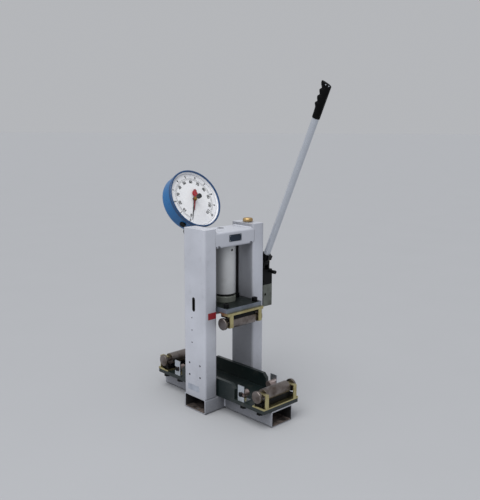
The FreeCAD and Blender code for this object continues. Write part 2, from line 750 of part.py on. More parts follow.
def cylinder_gland():
    """Flanged gland in the cylinder's lower end."""
    flange_base = CYLINDER_BASE - GLAND_FLANGE
    top = CYLINDER_BASE + GLAND_DEPTH
    outer = CYLINDER_BORE - RUNNING_FIT
    bore = RAM_RADIUS + RUNNING_FIT
    flange = CYLINDER_RADIUS - 1.0
    outline = [(bore, flange_base), (flange - 1, flange_base), (flange, flange_base + 1)]
    outline += [(flange, CYLINDER_BASE), (outer, CYLINDER_BASE), (outer, top), (bore, top)]
    return turned(outline)


def piston_base():
    """Height of the piston's underside at rest."""
    return CROSSHEAD_BASE - CYLINDER_HEAD - PISTON_HEIGHT


def ram():
    """Ram with its piston head, seal groove and lower stud."""
    low = piston_base()
    high = low + PISTON_HEIGHT
    outer = CYLINDER_BORE - RUNNING_FIT
    groove = outer - SEAL_DEPTH
    groove_low = low + (PISTON_HEIGHT - SEAL_HEIGHT) / 2
    groove_high = groove_low + SEAL_HEIGHT
    outline = [(0, BLOCK_TOP - RAM_STUD_LENGTH), (RAM_STUD_RADIUS, BLOCK_TOP - RAM_STUD_LENGTH)]
    outline += [(RAM_STUD_RADIUS, BLOCK_TOP), (RAM_RADIUS, BLOCK_TOP), (RAM_RADIUS, low), (outer, low)]
    outline += [(outer, groove_low), (groove, groove_low), (groove, groove_high), (outer, groove_high)]
    outline += [(outer, high), (0, high)]
    return turned(outline)


def ram_seal():
    """Ring in the piston's groove."""
    outer = CYLINDER_BORE - RUNNING_FIT
    low = piston_base() + (PISTON_HEIGHT - SEAL_HEIGHT) / 2
    return ring(outer, outer - SEAL_DEPTH, (0, 0, low), (0, 0, low + SEAL_HEIGHT))


def return_spring():
    """Compression spring between the gland and the piston, from flat facets."""
    low = CYLINDER_BASE + GLAND_DEPTH + SPRING_WIRE / 2
    rise = piston_base() - SPRING_WIRE / 2 - low
    mean = (CYLINDER_BORE + RAM_RADIUS) / 2
    count = SPRING_TURNS * SPRING_STEPS
    rings = []
    for step in range(count + 1):
        angle = 2 * math.pi * step / SPRING_STEPS
        height = low + rise * step / count
        rings.append(wire_ring(mean, angle, height))
    faces = [flat_face(list(reversed(rings[0]))), flat_face(rings[-1])]
    for first, second in zip(rings, rings[1:]):
        for side in range(SPRING_SIDES):
            after = (side + 1) % SPRING_SIDES
            faces.append(flat_face([first[side], first[after], second[after]]))
            faces.append(flat_face([first[side], second[after], second[side]]))
    return Part.makeSolid(Part.makeShell(faces))


def wire_ring(mean, angle, height):
    """Corners of the spring wire's cross-section at one place on the coil."""
    corners = []
    for side in range(SPRING_SIDES):
        turn = 2 * math.pi * side / SPRING_SIDES
        radius = mean + SPRING_WIRE / 2 * math.cos(turn)
        z = height + SPRING_WIRE / 2 * math.sin(turn)
        corners.append(V(radius * math.cos(angle), radius * math.sin(angle), z))
    return corners


def flat_face(corners):
    """Flat face between corner points."""
    return Part.Face(Part.makePolygon(corners + [corners[0]]))


def guide_rod(x):
    """Rod from the platen up through its bush, with a collar at its foot."""
    top = CROSSHEAD_TOP - SECTION_WALL - SIDE_GAP
    collar_top = PLATEN_TOP + GUIDE_COLLAR_HEIGHT
    outline = [(0, PLATEN_TOP - GUIDE_STUD_LENGTH), (GUIDE_STUD_RADIUS, PLATEN_TOP - GUIDE_STUD_LENGTH)]
    outline += [(GUIDE_STUD_RADIUS, PLATEN_TOP), (GUIDE_COLLAR_RADIUS, PLATEN_TOP)]
    outline += [(GUIDE_COLLAR_RADIUS, collar_top - 1), (GUIDE_COLLAR_RADIUS - 1, collar_top)]
    outline += [(GUIDE_RADIUS, collar_top), (GUIDE_RADIUS, top - 1), (GUIDE_RADIUS - 1, top), (0, top)]
    shape = turned(outline)
    shape.translate(V(x, 0, 0))
    return shape


def guide_bushes():
    """Flanged bushes in the crosshead's floor."""
    bore = GUIDE_RADIUS + RUNNING_FIT
    low = CROSSHEAD_BASE - BUSH_FLANGE_HEIGHT
    high = CROSSHEAD_BASE + SECTION_WALL
    outline = [(bore, low), (BUSH_FLANGE_RADIUS - 1, low), (BUSH_FLANGE_RADIUS, low + 1)]
    outline += [(BUSH_FLANGE_RADIUS, CROSSHEAD_BASE), (BUSH_BODY_RADIUS, CROSSHEAD_BASE)]
    outline += [(BUSH_BODY_RADIUS, high), (bore, high)]
    bush = turned(outline)
    bush.translate(V(GUIDE_X, 0, 0))
    return Part.makeCompound(both_sides(bush, X_AXIS))


def crank_point(distance, offset=0.0):
    """Point on the crank's line from its pivot, shifted upwards, as (y, z)."""
    angle = math.radians(CRANK_REST)
    y = PIVOT_Y + distance * math.cos(angle) - offset * math.sin(angle)
    z = PIVOT_Z + distance * math.sin(angle) + offset * math.cos(angle)
    return y, z


def plunger_y():
    """Plunger's axis, in the middle of the crank pin's sideways travel."""
    return PIVOT_Y + CRANK_LENGTH * (1 + math.cos(math.radians(CRANK_HALF_SWING))) / 2


def pump_block():
    """Pump's lower body with the plunger's bore and a plugged port on its front."""
    low = (PUMP_INNER, -PUMP_FRONT, PUMP_BASE)
    high = (PUMP_OUTER, PUMP_DEPTH - PUMP_FRONT, PUMP_JOIN)
    block = rounded(box(low, high), PUMP_EDGE, Z_AXIS)
    port_x = PUMP_INNER + PORT_INSET
    port_z = PUMP_BASE + PORT_HEIGHT
    port_mouth = (port_x, -PUMP_FRONT - SIDE_GAP, port_z)
    block = block.cut(rod(PORT_RADIUS, port_mouth, (port_x, PORT_DEPTH - PUMP_FRONT, port_z)))
    bore = PLUNGER_RADIUS + RUNNING_FIT
    y = plunger_y()
    return block.cut(rod(bore, (PUMP_X, y, PLUNGER_BORE_BASE), (PUMP_X, y, PUMP_JOIN + SIDE_GAP)))


def pump_head():
    """Pump's upper body with the lever's ears."""
    low = (PUMP_INNER, -PUMP_FRONT, PUMP_JOIN)
    high = (PUMP_OUTER, PUMP_DEPTH - PUMP_FRONT, PUMP_TOP)
    pieces = [rounded(box(low, high), PUMP_EDGE, Z_AXIS)]
    inside = EAR_INSIDE / 2
    for near in (PUMP_X - inside - EAR_WALL, PUMP_X + inside):
        far = near + EAR_WALL
        disc = rod(EAR_RADIUS, (near, PIVOT_Y, PIVOT_Z), (far, PIVOT_Y, PIVOT_Z))
        web = box((near, PIVOT_Y - EAR_RADIUS, PUMP_TOP), (far, PIVOT_Y + EAR_RADIUS, PIVOT_Z))
        pieces.extend([disc, web])
    head = joined(pieces)
    pin = PIVOT_RADIUS + RUNNING_FIT
    head = head.cut(rod(pin, (PUMP_INNER, PIVOT_Y, PIVOT_Z), (PUMP_OUTER, PIVOT_Y, PIVOT_Z)))
    bore = PLUNGER_RADIUS + RUNNING_FIT
    y = plunger_y()
    head = head.cut(rod(bore, (PUMP_X, y, PUMP_JOIN - SIDE_GAP), (PUMP_X, y, PUMP_TOP + SIDE_GAP)))
    x = PUMP_OUTER - VALVE_X_INSET
    seat = VALVE_STEM_RADIUS + RUNNING_FIT
    front = -PUMP_FRONT
    return head.cut(rod(seat, (x, front - SIDE_GAP, VALVE_Z), (x, front + VALVE_STEM_SEAT, VALVE_Z)))


def pivot_pin():
    """Pin through the pump's ears, with a head and a nut."""
    inner = PUMP_X - EAR_INSIDE / 2 - EAR_WALL
    outer = PUMP_X + EAR_INSIDE / 2 + EAR_WALL
    shank = rod(PIVOT_RADIUS, (inner, PIVOT_Y, PIVOT_Z), (outer, PIVOT_Y, PIVOT_Z))
    head = rod(PIN_HEAD_RADIUS, (inner - PIN_HEAD_HEIGHT, PIVOT_Y, PIVOT_Z), (inner, PIVOT_Y, PIVOT_Z))
    nut_end = (outer + PIVOT_NUT_HEIGHT, PIVOT_Y, PIVOT_Z)
    nut = hexagon(2 * PIN_HEAD_RADIUS, (outer, PIVOT_Y, PIVOT_Z), nut_end)
    return joined([shank, head, nut])


def release_valve():
    """Valve stem and fluted knob on the pump's front."""
    x = PUMP_OUTER - VALVE_X_INSET
    front = -PUMP_FRONT
    knob_start = front - VALVE_STEM_LENGTH
    knob_end = knob_start - VALVE_KNOB_LENGTH
    stem = rod(VALVE_STEM_RADIUS, (x, front + VALVE_STEM_SEAT, VALVE_Z), (x, knob_start, VALVE_Z))
    knob = rod(VALVE_KNOB_RADIUS, (x, knob_start, VALVE_Z), (x, knob_end, VALVE_Z))
    for step in range(VALVE_FLUTES):
        angle = 2 * math.pi * step / VALVE_FLUTES
        flute_x = x + VALVE_FLUTE_CIRCLE * math.cos(angle)
        flute_z = VALVE_Z + VALVE_FLUTE_CIRCLE * math.sin(angle)
        start = (flute_x, knob_start + SIDE_GAP, flute_z)
        end = (flute_x, knob_end - SIDE_GAP, flute_z)
        knob = knob.cut(rod(VALVE_FLUTE_RADIUS, start, end))
    return joined([stem, knob])


def plunger():
    """Pump plunger with a flat tongue on top, slotted for the crank pin."""
    y = plunger_y()
    pin_y, pin_z = crank_point(CRANK_LENGTH)
    half = TONGUE_WIDTH / 2
    shoulder = pin_z - SHOULDER_BELOW_PIN
    stem = rod(PLUNGER_RADIUS, (PUMP_X, y, PLUNGER_BASE), (PUMP_X, y, shoulder))
    neck = rod(PLUNGER_RADIUS, (PUMP_X, y, shoulder), (PUMP_X, y, pin_z))
    flats = box((PUMP_X - half, y - PLUNGER_RADIUS, shoulder), (PUMP_X + half, y + PLUNGER_RADIUS, pin_z))
    low = (PUMP_X - half, y - TONGUE_HALF_DEPTH, pin_z - TONGUE_BELOW_PIN)
    high = (PUMP_X + half, y + TONGUE_HALF_DEPTH, pin_z + TONGUE_ABOVE_PIN)
    tongue = rounded(box(low, high), TONGUE_CORNER, X_AXIS)
    whole = joined([stem, neck.common(flats), tongue])
    travel = CRANK_LENGTH * (1 - math.cos(math.radians(CRANK_HALF_SWING)))
    radius = CRANK_PIN_RADIUS + FREE_GAP
    near = y - travel / 2
    far = y + travel / 2
    slot = box((PUMP_X - 2 * half, near, pin_z - radius), (PUMP_X + 2 * half, far, pin_z + radius))
    whole = whole.cut(slot)
    for end in (near, far):
        whole = whole.cut(rod(radius, (PUMP_X - 2 * half, end, pin_z), (PUMP_X + 2 * half, end, pin_z)))
    return whole


def lever_point(distance, offset=0.0):
    """Point on the lever's line from its pivot, shifted towards the rear, as (y, z)."""
    lean = math.radians(LEVER_LEAN)
    y = PIVOT_Y - distance * math.sin(lean) + offset * math.cos(lean)
    z = PIVOT_Z + distance * math.cos(lean) + offset * math.sin(lean)
    return y, z


def crank_plate(near, far):
    """One of the crank's two tapered plates, between two places along X."""
    eye = CRANK_PIN_RADIUS + CRANK_EYE
    outline = [crank_point(0, -HUB_NECK), crank_point(CRANK_LENGTH, -eye)]
    outline += [crank_point(CRANK_LENGTH, eye), crank_point(0, HUB_NECK)]
    plate = prism([(near,) + point for point in outline], (far - near, 0, 0))
    tip = crank_point(CRANK_LENGTH)
    return joined([plate, rod(eye, (near,) + tip, (far,) + tip)])


def lever_socket():
    """Hub, crank and round cup, with a clamping lug towards the front, that holds the lever's tube."""
    half = HUB_HALF_WIDTH
    pivot = (PIVOT_Y, PIVOT_Z)
    hub = rod(HUB_RADIUS, (PUMP_X - half,) + pivot, (PUMP_X + half,) + pivot)
    inner = LEVER_RADIUS + RUNNING_FIT
    outer = inner + SOCKET_WALL
    start = SOCKET_START
    end = start + SOCKET_LENGTH
    neck_outline = [lever_point(0, -HUB_NECK), lever_point(LEVER_START, -HUB_NECK)]
    neck_outline += [lever_point(LEVER_START, HUB_NECK), lever_point(0, HUB_NECK)]
    neck = prism([(PUMP_X - half,) + point for point in neck_outline], (2 * half, 0, 0))
    cup = rod(outer, (PUMP_X,) + lever_point(start), (PUMP_X,) + lever_point(end))
    low = start + SOCKET_LUG_HEIGHT
    lug_outline = [(start, 0), (low, -outer - SOCKET_LUG_HEIGHT), (end, -outer - SOCKET_LUG_HEIGHT), (end, 0)]
    lug_side = [(PUMP_X - SOCKET_LUG_HALF,) + lever_point(*place) for place in lug_outline]
    lug = prism(lug_side, (2 * SOCKET_LUG_HALF, 0, 0))
    gap = TONGUE_WIDTH / 2 + FREE_GAP
    plates = [crank_plate(PUMP_X - half, PUMP_X - gap), crank_plate(PUMP_X + gap, PUMP_X + half)]
    body = joined([hub, neck, cup, lug] + plates)
    past = end + SOCKET_WALL
    body = body.cut(rod(inner, (PUMP_X,) + lever_point(LEVER_START), (PUMP_X,) + lever_point(past)))
    bore = PIVOT_RADIUS + RUNNING_FIT
    body = body.cut(rod(bore, (PUMP_X - outer,) + pivot, (PUMP_X + outer,) + pivot))
    eye = crank_point(CRANK_LENGTH)
    hole = CRANK_PIN_RADIUS + RUNNING_FIT
    return body.cut(rod(hole, (PUMP_X - outer,) + eye, (PUMP_X + outer,) + eye))


def crank_pin():
    """Pin through the crank's plates and the plunger's slot."""
    place = crank_point(CRANK_LENGTH)
    half = HUB_HALF_WIDTH + PIN_END
    return rod(CRANK_PIN_RADIUS, (PUMP_X - half,) + place, (PUMP_X + half,) + place)


def lever_tube():
    """Long straight tube of the lever."""
    start = (PUMP_X,) + lever_point(LEVER_START)
    end = (PUMP_X,) + lever_point(LEVER_START + LEVER_LENGTH)
    return ring(LEVER_RADIUS, LEVER_BORE, start, end)


def lever_grip():
    """Moulded grip with finger grooves towards the rear left and a sloping end."""
    base = GRIP_START
    end = base + GRIP_LENGTH
    radius = GRIP_RADIUS
    grip = rod(radius, (0, 0, base), (0, 0, end))
    half_chord = GRIP_GROOVE_PITCH / 2 - GRIP_GROOVE_LAND
    sagitta = GRIP_GROOVE_DEPTH
    groove = (half_chord ** 2 + sagitta ** 2) / (2 * sagitta)
    y = radius - sagitta + groove
    for step in range(GRIP_GROOVES):
        z = base + GRIP_FIRST_GROOVE + step * GRIP_GROOVE_PITCH
        grip = grip.cut(rod(groove, (-2 * radius, y, z), (2 * radius, y, z)))
    drop = 2 * radius * math.tan(math.radians(GRIP_TIP_SLOPE))
    past = end + SIDE_GAP
    wedge = [(-2 * radius, radius, end), (-2 * radius, radius, past), (-2 * radius, -radius, past)]
    wedge.append((-2 * radius, -radius, end - drop))
    grip = grip.cut(prism(wedge, (4 * radius, 0, 0)))
    bore = LEVER_RADIUS + RUNNING_FIT
    grip = grip.cut(rod(bore, (0, 0, base - SIDE_GAP), (0, 0, LEVER_START + LEVER_LENGTH + FREE_GAP)))
    grip.rotate(V(0, 0, 0), Z_AXIS, GRIP_TURN)
    grip.rotate(V(0, 0, 0), X_AXIS, LEVER_LEAN)
    grip.translate(V(PUMP_X, PIVOT_Y, PIVOT_Z))
    return grip


def on_gauge(shape):
    """Moves a gauge piece from its own frame, face towards -Y at the origin, to its place."""
    shape.rotate(V(0, 0, 0), X_AXIS, -GAUGE_TILT)
    shape.translate(V(0, GAUGE_Y, GAUGE_Z))
    return shape


def gauge_turned(points):
    """Gauge piece turned about the dial's axis from (radius, depth) points."""
    shape = turned(points)
    shape.rotate(V(0, 0, 0), X_AXIS, -90)
    return shape


def ear_pivot():
    """Tilt pivot in the gauge's own frame, as (depth, height)."""
    return CASE_DEPTH + EAR_PIVOT_STANDOFF, -EAR_PIVOT_DROP


def gauge_case():
    """Round case, hollow, with a rounded back edge and two ears on its back."""
    out = CASE_RADIUS
    wall = CASE_WALL
    back = CASE_DEPTH
    corner = CASE_CORNER
    front = BEZEL_LIP
    outline = [(out - wall, front), (out, front), (out, back - corner)]
    inner = [(0, back), (0, back - wall)]
    for step in range(1, CASE_CORNER_STEPS + 1):
        angle = math.pi / 2 * step / CASE_CORNER_STEPS
        outline.append((out - corner + corner * math.cos(angle), back - corner + corner * math.sin(angle)))
    inner.append((out - corner, back - wall))
    inner.append((out - wall, back - corner))
    case = gauge_turned(outline + inner)
    depth, height = ear_pivot()
    pieces = [case]
    for side in (-1, 1):
        near = side * (BRACKET_WIDTH / 2 + FREE_GAP)
        far = near + side * CASE_EAR_WALL
        low_x = min(near, far)
        high_x = max(near, far)
        eye = EAR_EYE_RADIUS
        pieces.append(rod(eye, (low_x, depth, height), (high_x, depth, height)))
        pieces.append(box((low_x, back - wall, height - eye), (high_x, depth, height + eye)))
    case = joined(pieces)
    hole = TILT_SCREW_RADIUS + RUNNING_FIT
    case = case.cut(rod(hole, (-BRACKET_WIDTH, depth, height), (BRACKET_WIDTH, depth, height)))
    half = STEM_ACROSS / 2
    low = (-half, STEM_DEPTH - half, -out - wall)
    high = (half, STEM_DEPTH + half, -out + 3 * wall)
    stem_hole = box(low, high)
    return on_gauge(case.cut(stem_hole))


def gauge_bezel():
    """Ring that holds the glass on the case."""
    out = GAUGE_RADIUS
    outline = [(BEZEL_INSIDE, 0), (out - BEZEL_EDGE, 0), (out, BEZEL_EDGE), (out, BEZEL_DEPTH)]
    outline += [(CASE_RADIUS, BEZEL_DEPTH), (CASE_RADIUS, BEZEL_LIP), (BEZEL_INSIDE, BEZEL_LIP)]
    return on_gauge(gauge_turned(outline))


def disc_in_case(depth, thickness, radius, hole=0.0):
    """Flat disc inside the case at a depth behind the face."""
    shape = rod(radius, (0, depth, 0), (0, depth + thickness, 0))
    if hole:
        shape = shape.cut(rod(hole, (0, depth - 1, 0), (0, depth + thickness + 1, 0)))
    return shape


def gauge_glass():
    """Flat glass behind the bezel's lip, with a hole for the follower's stud."""
    hole = FOLLOWER_STUD_RADIUS + RUNNING_FIT
    return on_gauge(disc_in_case(BEZEL_LIP, GLASS_THICKNESS, CASE_RADIUS - CASE_WALL, hole))


def gauge_dial():
    """Flat dial plate with a hole for the pointer's arbor."""
    radius = CASE_RADIUS - CASE_WALL
    return on_gauge(disc_in_case(DIAL_DEPTH, DIAL_THICKNESS, radius, ARBOR_RADIUS + FREE_GAP))


def gauge_movement():
    """Movement behind the dial, with the bearing of the pointer's arbor."""
    start = DIAL_DEPTH + DIAL_THICKNESS
    end = start + MOVEMENT_DEPTH
    plate = rod(MOVEMENT_RADIUS, (0, start, 0), (0, start + MOVEMENT_PLATE, 0))
    pieces = [plate, rod(MOVEMENT_RADIUS / 2, (0, start, 0), (0, CASE_DEPTH - CASE_WALL, 0))]
    circle = MOVEMENT_RADIUS - 1.5 * MOVEMENT_PILLAR_RADIUS
    for step in range(3):
        angle = math.radians(90 + 120 * step)
        x = circle * math.cos(angle)
        z = circle * math.sin(angle)
        pieces.append(rod(MOVEMENT_PILLAR_RADIUS, (x, start, z), (x, end, z)))
    movement = joined(pieces)
    bore = ARBOR_RADIUS + RUNNING_FIT
    return on_gauge(movement.cut(rod(bore, (0, start - 1, 0), (0, start + MOVEMENT_DEPTH / 2, 0))))


def hand(length, tail, width, depth, angle):
    """Tapered flat hand with a round tail, turned clockwise from the top of the dial."""
    outline = [(-width / 3, depth, -tail), (width / 3, depth, -tail), (width / 2, depth, 0)]
    tip = POINTER_TIP_WIDTH / 2
    outline += [(tip, depth, length), (-tip, depth, length), (-width / 2, depth, 0)]
    blade = prism(outline, (0, POINTER_THICKNESS, 0))
    disc = rod(TAIL_DISC_RADIUS, (0, depth, -tail), (0, depth + POINTER_THICKNESS, -tail))
    shape = joined([blade, disc])
    shape.rotate(V(0, 0, 0), Y_AXIS, angle)
    return shape


def gauge_pointer():
    """Main pointer with its hub and arbor."""
    blade = hand(POINTER_LENGTH, POINTER_TAIL, POINTER_WIDTH, POINTER_DEPTH, POINTER_ANGLE)
    hub_front = POINTER_DEPTH - POINTER_THICKNESS
    hub = rod(HUB_DISC_RADIUS, (0, hub_front, 0), (0, POINTER_DEPTH + 1.5 * POINTER_THICKNESS, 0))
    arbor_end = DIAL_DEPTH + DIAL_THICKNESS + MOVEMENT_DEPTH / 3
    arbor = rod(ARBOR_RADIUS, (0, hub_front, 0), (0, arbor_end, 0))
    return on_gauge(joined([blade, hub, arbor]))


def maximum_pointer():
    """Follower hand on a stud through the glass, with the knob that sets it back."""
    blade = hand(FOLLOWER_LENGTH, FOLLOWER_TAIL, POINTER_WIDTH, FOLLOWER_DEPTH, FOLLOWER_ANGLE)
    glass_back = BEZEL_LIP + GLASS_THICKNESS
    boss = rod(2 * FOLLOWER_STUD_RADIUS, (0, glass_back, 0), (0, FOLLOWER_DEPTH + POINTER_THICKNESS, 0))
    knob_back = BEZEL_LIP - RESET_STEM_LENGTH
    knob_front = knob_back - RESET_KNOB_LENGTH
    stud = rod(FOLLOWER_STUD_RADIUS, (0, knob_back, 0), (0, glass_back, 0))
    collar = rod(2 * FOLLOWER_STUD_RADIUS, (0, BEZEL_LIP - POINTER_THICKNESS, 0), (0, BEZEL_LIP, 0))
    knob = rod(RESET_KNOB_RADIUS, (0, knob_front, 0), (0, knob_back, 0))
    return on_gauge(joined([blade, boss, stud, collar, knob]))


def gauge_stem():
    """Square connection under the case with its threaded end."""
    half = STEM_ACROSS / 2 - RUNNING_FIT
    top = -CASE_RADIUS + 2 * CASE_WALL
    low = -CASE_RADIUS - STEM_LENGTH
    square = box((-half, STEM_DEPTH - half, low), (half, STEM_DEPTH + half, top))
    thread = rod(STEM_THREAD_RADIUS, (0, STEM_DEPTH, low - STEM_THREAD_LENGTH), (0, STEM_DEPTH, low))
    return on_gauge(joined([square, thread]))


def tilt_pivot():
    """Tilt pivot in the machine's frame, as (y, z)."""
    depth, height = ear_pivot()
    tilt = math.radians(GAUGE_TILT)
    y = GAUGE_Y + depth * math.cos(tilt) + height * math.sin(tilt)
    z = GAUGE_Z - depth * math.sin(tilt) + height * math.cos(tilt)
    return y, z


def gauge_bracket():
    """Bent bar from the crosshead's rear face up to the gauge's ears, with a hose window."""
    y, z = tilt_pivot()
    wall = BRACKET_WALL
    half = BRACKET_WIDTH / 2
    face = HALF_DEPTH + wall / 2
    path = [(face, CROSSHEAD_TOP - SECTION_CORNER), (face, BRACKET_ARM_Z)]
    path += [(y + BRACKET_BACK - wall, BRACKET_ARM_Z), (y + BRACKET_BACK, BRACKET_ARM_Z + 2 * wall)]
    path += [(y, z - wall)]
    strip = bent_strip(path, wall, -half, half)
    eye = rod(EAR_EYE_RADIUS, (-half, y, z), (half, y, z))
    bracket = joined([strip, eye])
    low = (-HOSE_WINDOW / 2, HOSE_WINDOW_FRONT, BRACKET_ARM_Z - wall)
    high = (HOSE_WINDOW / 2, HOSE_WINDOW_BACK, BRACKET_ARM_Z + wall)
    bracket = bracket.cut(rounded(box(low, high), PUMP_EDGE, Z_AXIS))
    hole = TILT_SCREW_RADIUS + RUNNING_FIT
    return bracket.cut(rod(hole, (-BRACKET_WIDTH, y, z), (BRACKET_WIDTH, y, z)))


def tilt_screw():
    """Clamping screw through the ears, with a round knob."""
    y, z = tilt_pivot()
    outer = BRACKET_WIDTH / 2 + FREE_GAP + CASE_EAR_WALL
    shank = rod(TILT_SCREW_RADIUS, (-outer, y, z), (outer, y, z))
    knob = rod(TILT_KNOB_RADIUS, (-outer - TILT_KNOB_LENGTH, y, z), (-outer, y, z))
    nut = hexagon(4 * TILT_SCREW_RADIUS, (outer, y, z), (outer + TILT_SCREW_RADIUS, y, z))
    return joined([shank, knob, nut])


def all_parts():
    """Every node's name and shape."""
    front_foot, rear_foot = foot_tubes()
    left_cheek, right_cheek = bed_cheeks()
    lower = (LOWER_HALF_SPAN, BED_TOP, LOWER_ROLLER_Z, LOWER_GUARD_REACH, LOWER_SKIRT, BED_BOLT_RADIUS)
    upper = (UPPER_HALF_SPAN, PLATEN_BASE, UPPER_ROLLER_Z, UPPER_GUARD_REACH)
    upper += (UPPER_SKIRT, PLATEN_SCREW_RADIUS)
    lower_saddles, lower_guards = support_set(*lower)
    upper_saddles, upper_guards = support_set(*upper)
    front_left, front_right = both_sides(stop_bracket(), X_AXIS)
    rear_left, rear_right = [shape.mirror(V(0, 0, 0), Y_AXIS) for shape in (front_left, front_right)]
    return {
        "base_cross_tube": base_cross_tube(),
        "front_foot_tube": front_foot,
        "rear_foot_tube": rear_foot,
        "left_column": left_column(),
        "right_column": right_column(),
        "crosshead": crosshead(),
        "filler_cap": filler_cap(),
        "bed_plate": bed_plate(),
        "left_bed_cheek": left_cheek,
        "right_bed_cheek": right_cheek,
        "bed_bolts": bed_bolts(),
        "front_left_stop_bracket": front_left,
        "front_right_stop_bracket": front_right,
        "rear_left_stop_bracket": rear_left,
        "rear_right_stop_bracket": rear_right,
        "stop_pins": stop_pins(),
        "front_lower_roller": roller(-LOWER_HALF_SPAN, LOWER_ROLLER_Z),
        "rear_lower_roller": roller(LOWER_HALF_SPAN, LOWER_ROLLER_Z),
        "front_lower_saddle": lower_saddles[0],
        "rear_lower_saddle": lower_saddles[1],
        "front_lower_guard": lower_guards[0],
        "rear_lower_guard": lower_guards[1],
        "platen": platen(),
        "spreader_block": spreader_block(),
        "platen_screws": platen_screws(),
        "front_upper_roller": roller(-UPPER_HALF_SPAN, UPPER_ROLLER_Z),
        "rear_upper_roller": roller(UPPER_HALF_SPAN, UPPER_ROLLER_Z),
        "front_upper_saddle": upper_saddles[0],
        "rear_upper_saddle": upper_saddles[1],
        "front_upper_guard": upper_guards[0],
        "rear_upper_guard": upper_guards[1],
        "cylinder_barrel": cylinder_barrel(),
        "bleed_screw": bleed_screw(),
        "ring_nut": ring_nut(),
        "cylinder_gland": cylinder_gland(),
        "ram": ram(),
        "ram_seal": ram_seal(),
        "return_spring": return_spring(),
        "left_guide_rod": guide_rod(-GUIDE_X),
        "right_guide_rod": guide_rod(GUIDE_X),
        "guide_bushes": guide_bushes(),
        "pump_block": pump_block(),
        "pump_head": pump_head(),
        "pivot_pin": pivot_pin(),
        "release_valve": release_valve(),
        "plunger": plunger(),
        "lever_socket": lever_socket(),
        "crank_pin": crank_pin(),
        "lever_tube": lever_tube(),
        "lever_grip": lever_grip(),
        "gauge_case": gauge_case(),
        "gauge_bezel": gauge_bezel(),
        "gauge_glass": gauge_glass(),
        "gauge_dial": gauge_dial(),
        "gauge_movement": gauge_movement(),
        "gauge_pointer": gauge_pointer(),
        "maximum_pointer": maximum_pointer(),
        "gauge_stem": gauge_stem(),
        "gauge_bracket": gauge_bracket(),
        "tilt_screw": tilt_screw(),
    }


def main():
    """Builds every node and writes its file."""
    os.makedirs("parts", exist_ok=True)
    for name, shape in all_parts().items():
        shape.exportStep(f"parts/{name}.step")
        state = "valid" if shape.isValid() else "INVALID"
        print(name, len(shape.Solids), state, round(shape.Volume / 1000, 2))


main()
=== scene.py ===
"""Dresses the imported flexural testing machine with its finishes, dial print, plates and welds."""

import functools
import logging
import math
from dataclasses import dataclass, field
from enum import Enum

import bmesh
import bpy
from mathutils import Matrix, Vector


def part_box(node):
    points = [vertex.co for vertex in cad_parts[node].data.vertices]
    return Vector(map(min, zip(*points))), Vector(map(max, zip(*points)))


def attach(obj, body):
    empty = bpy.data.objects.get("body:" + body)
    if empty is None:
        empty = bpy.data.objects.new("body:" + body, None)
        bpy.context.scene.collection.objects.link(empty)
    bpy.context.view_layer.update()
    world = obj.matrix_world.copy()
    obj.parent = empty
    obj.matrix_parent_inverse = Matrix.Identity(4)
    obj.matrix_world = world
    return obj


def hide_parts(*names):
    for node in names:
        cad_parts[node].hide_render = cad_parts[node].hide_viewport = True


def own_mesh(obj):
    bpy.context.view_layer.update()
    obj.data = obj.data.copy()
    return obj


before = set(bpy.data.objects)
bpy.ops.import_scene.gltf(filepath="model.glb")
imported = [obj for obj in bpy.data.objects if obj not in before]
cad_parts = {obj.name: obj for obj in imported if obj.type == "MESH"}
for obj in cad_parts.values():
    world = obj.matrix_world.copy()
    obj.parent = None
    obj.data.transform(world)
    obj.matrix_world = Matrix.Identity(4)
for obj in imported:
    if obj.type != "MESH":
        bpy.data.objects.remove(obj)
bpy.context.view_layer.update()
LOG = logging.getLogger("flexural_machine")
MM = 0.001
EDGE_COSINES = (1.0, 0.8)
SHELTERED_LIGHT = (0.90, 0.30)

Material = bpy.types.Material
Socket = bpy.types.NodeSocket
Tone = tuple[int, int, int]
Color = tuple[float, float, float, float]
Point = tuple[float, float, float]
Pair = tuple[float, float]
Inputs = dict[str | int, object]


class Grain(Enum):
    """Direction that a metal surface's fine marks run in, as noise stretch along X, Y and Z."""

    NONE = (1.0, 1.0, 1.0)
    ALONG_X = (0.04, 1.0, 1.0)
    ALONG_Y = (1.0, 0.04, 1.0)
    ALONG_Z = (1.0, 1.0, 0.04)
    AROUND_X = (1.0, 0.05, 0.05)
    AROUND_Z = (0.05, 0.05, 1.0)


@dataclass(frozen=True)
class Pattern:
    """Noise with scale features per metre, 0 to 1 between two of its levels; its height is in millimetres."""

    scale: float
    detail: float
    low: float = 0.3
    high: float = 0.7
    shift: float = 0.0
    grain: Grain = Grain.NONE
    height: float = 0.0


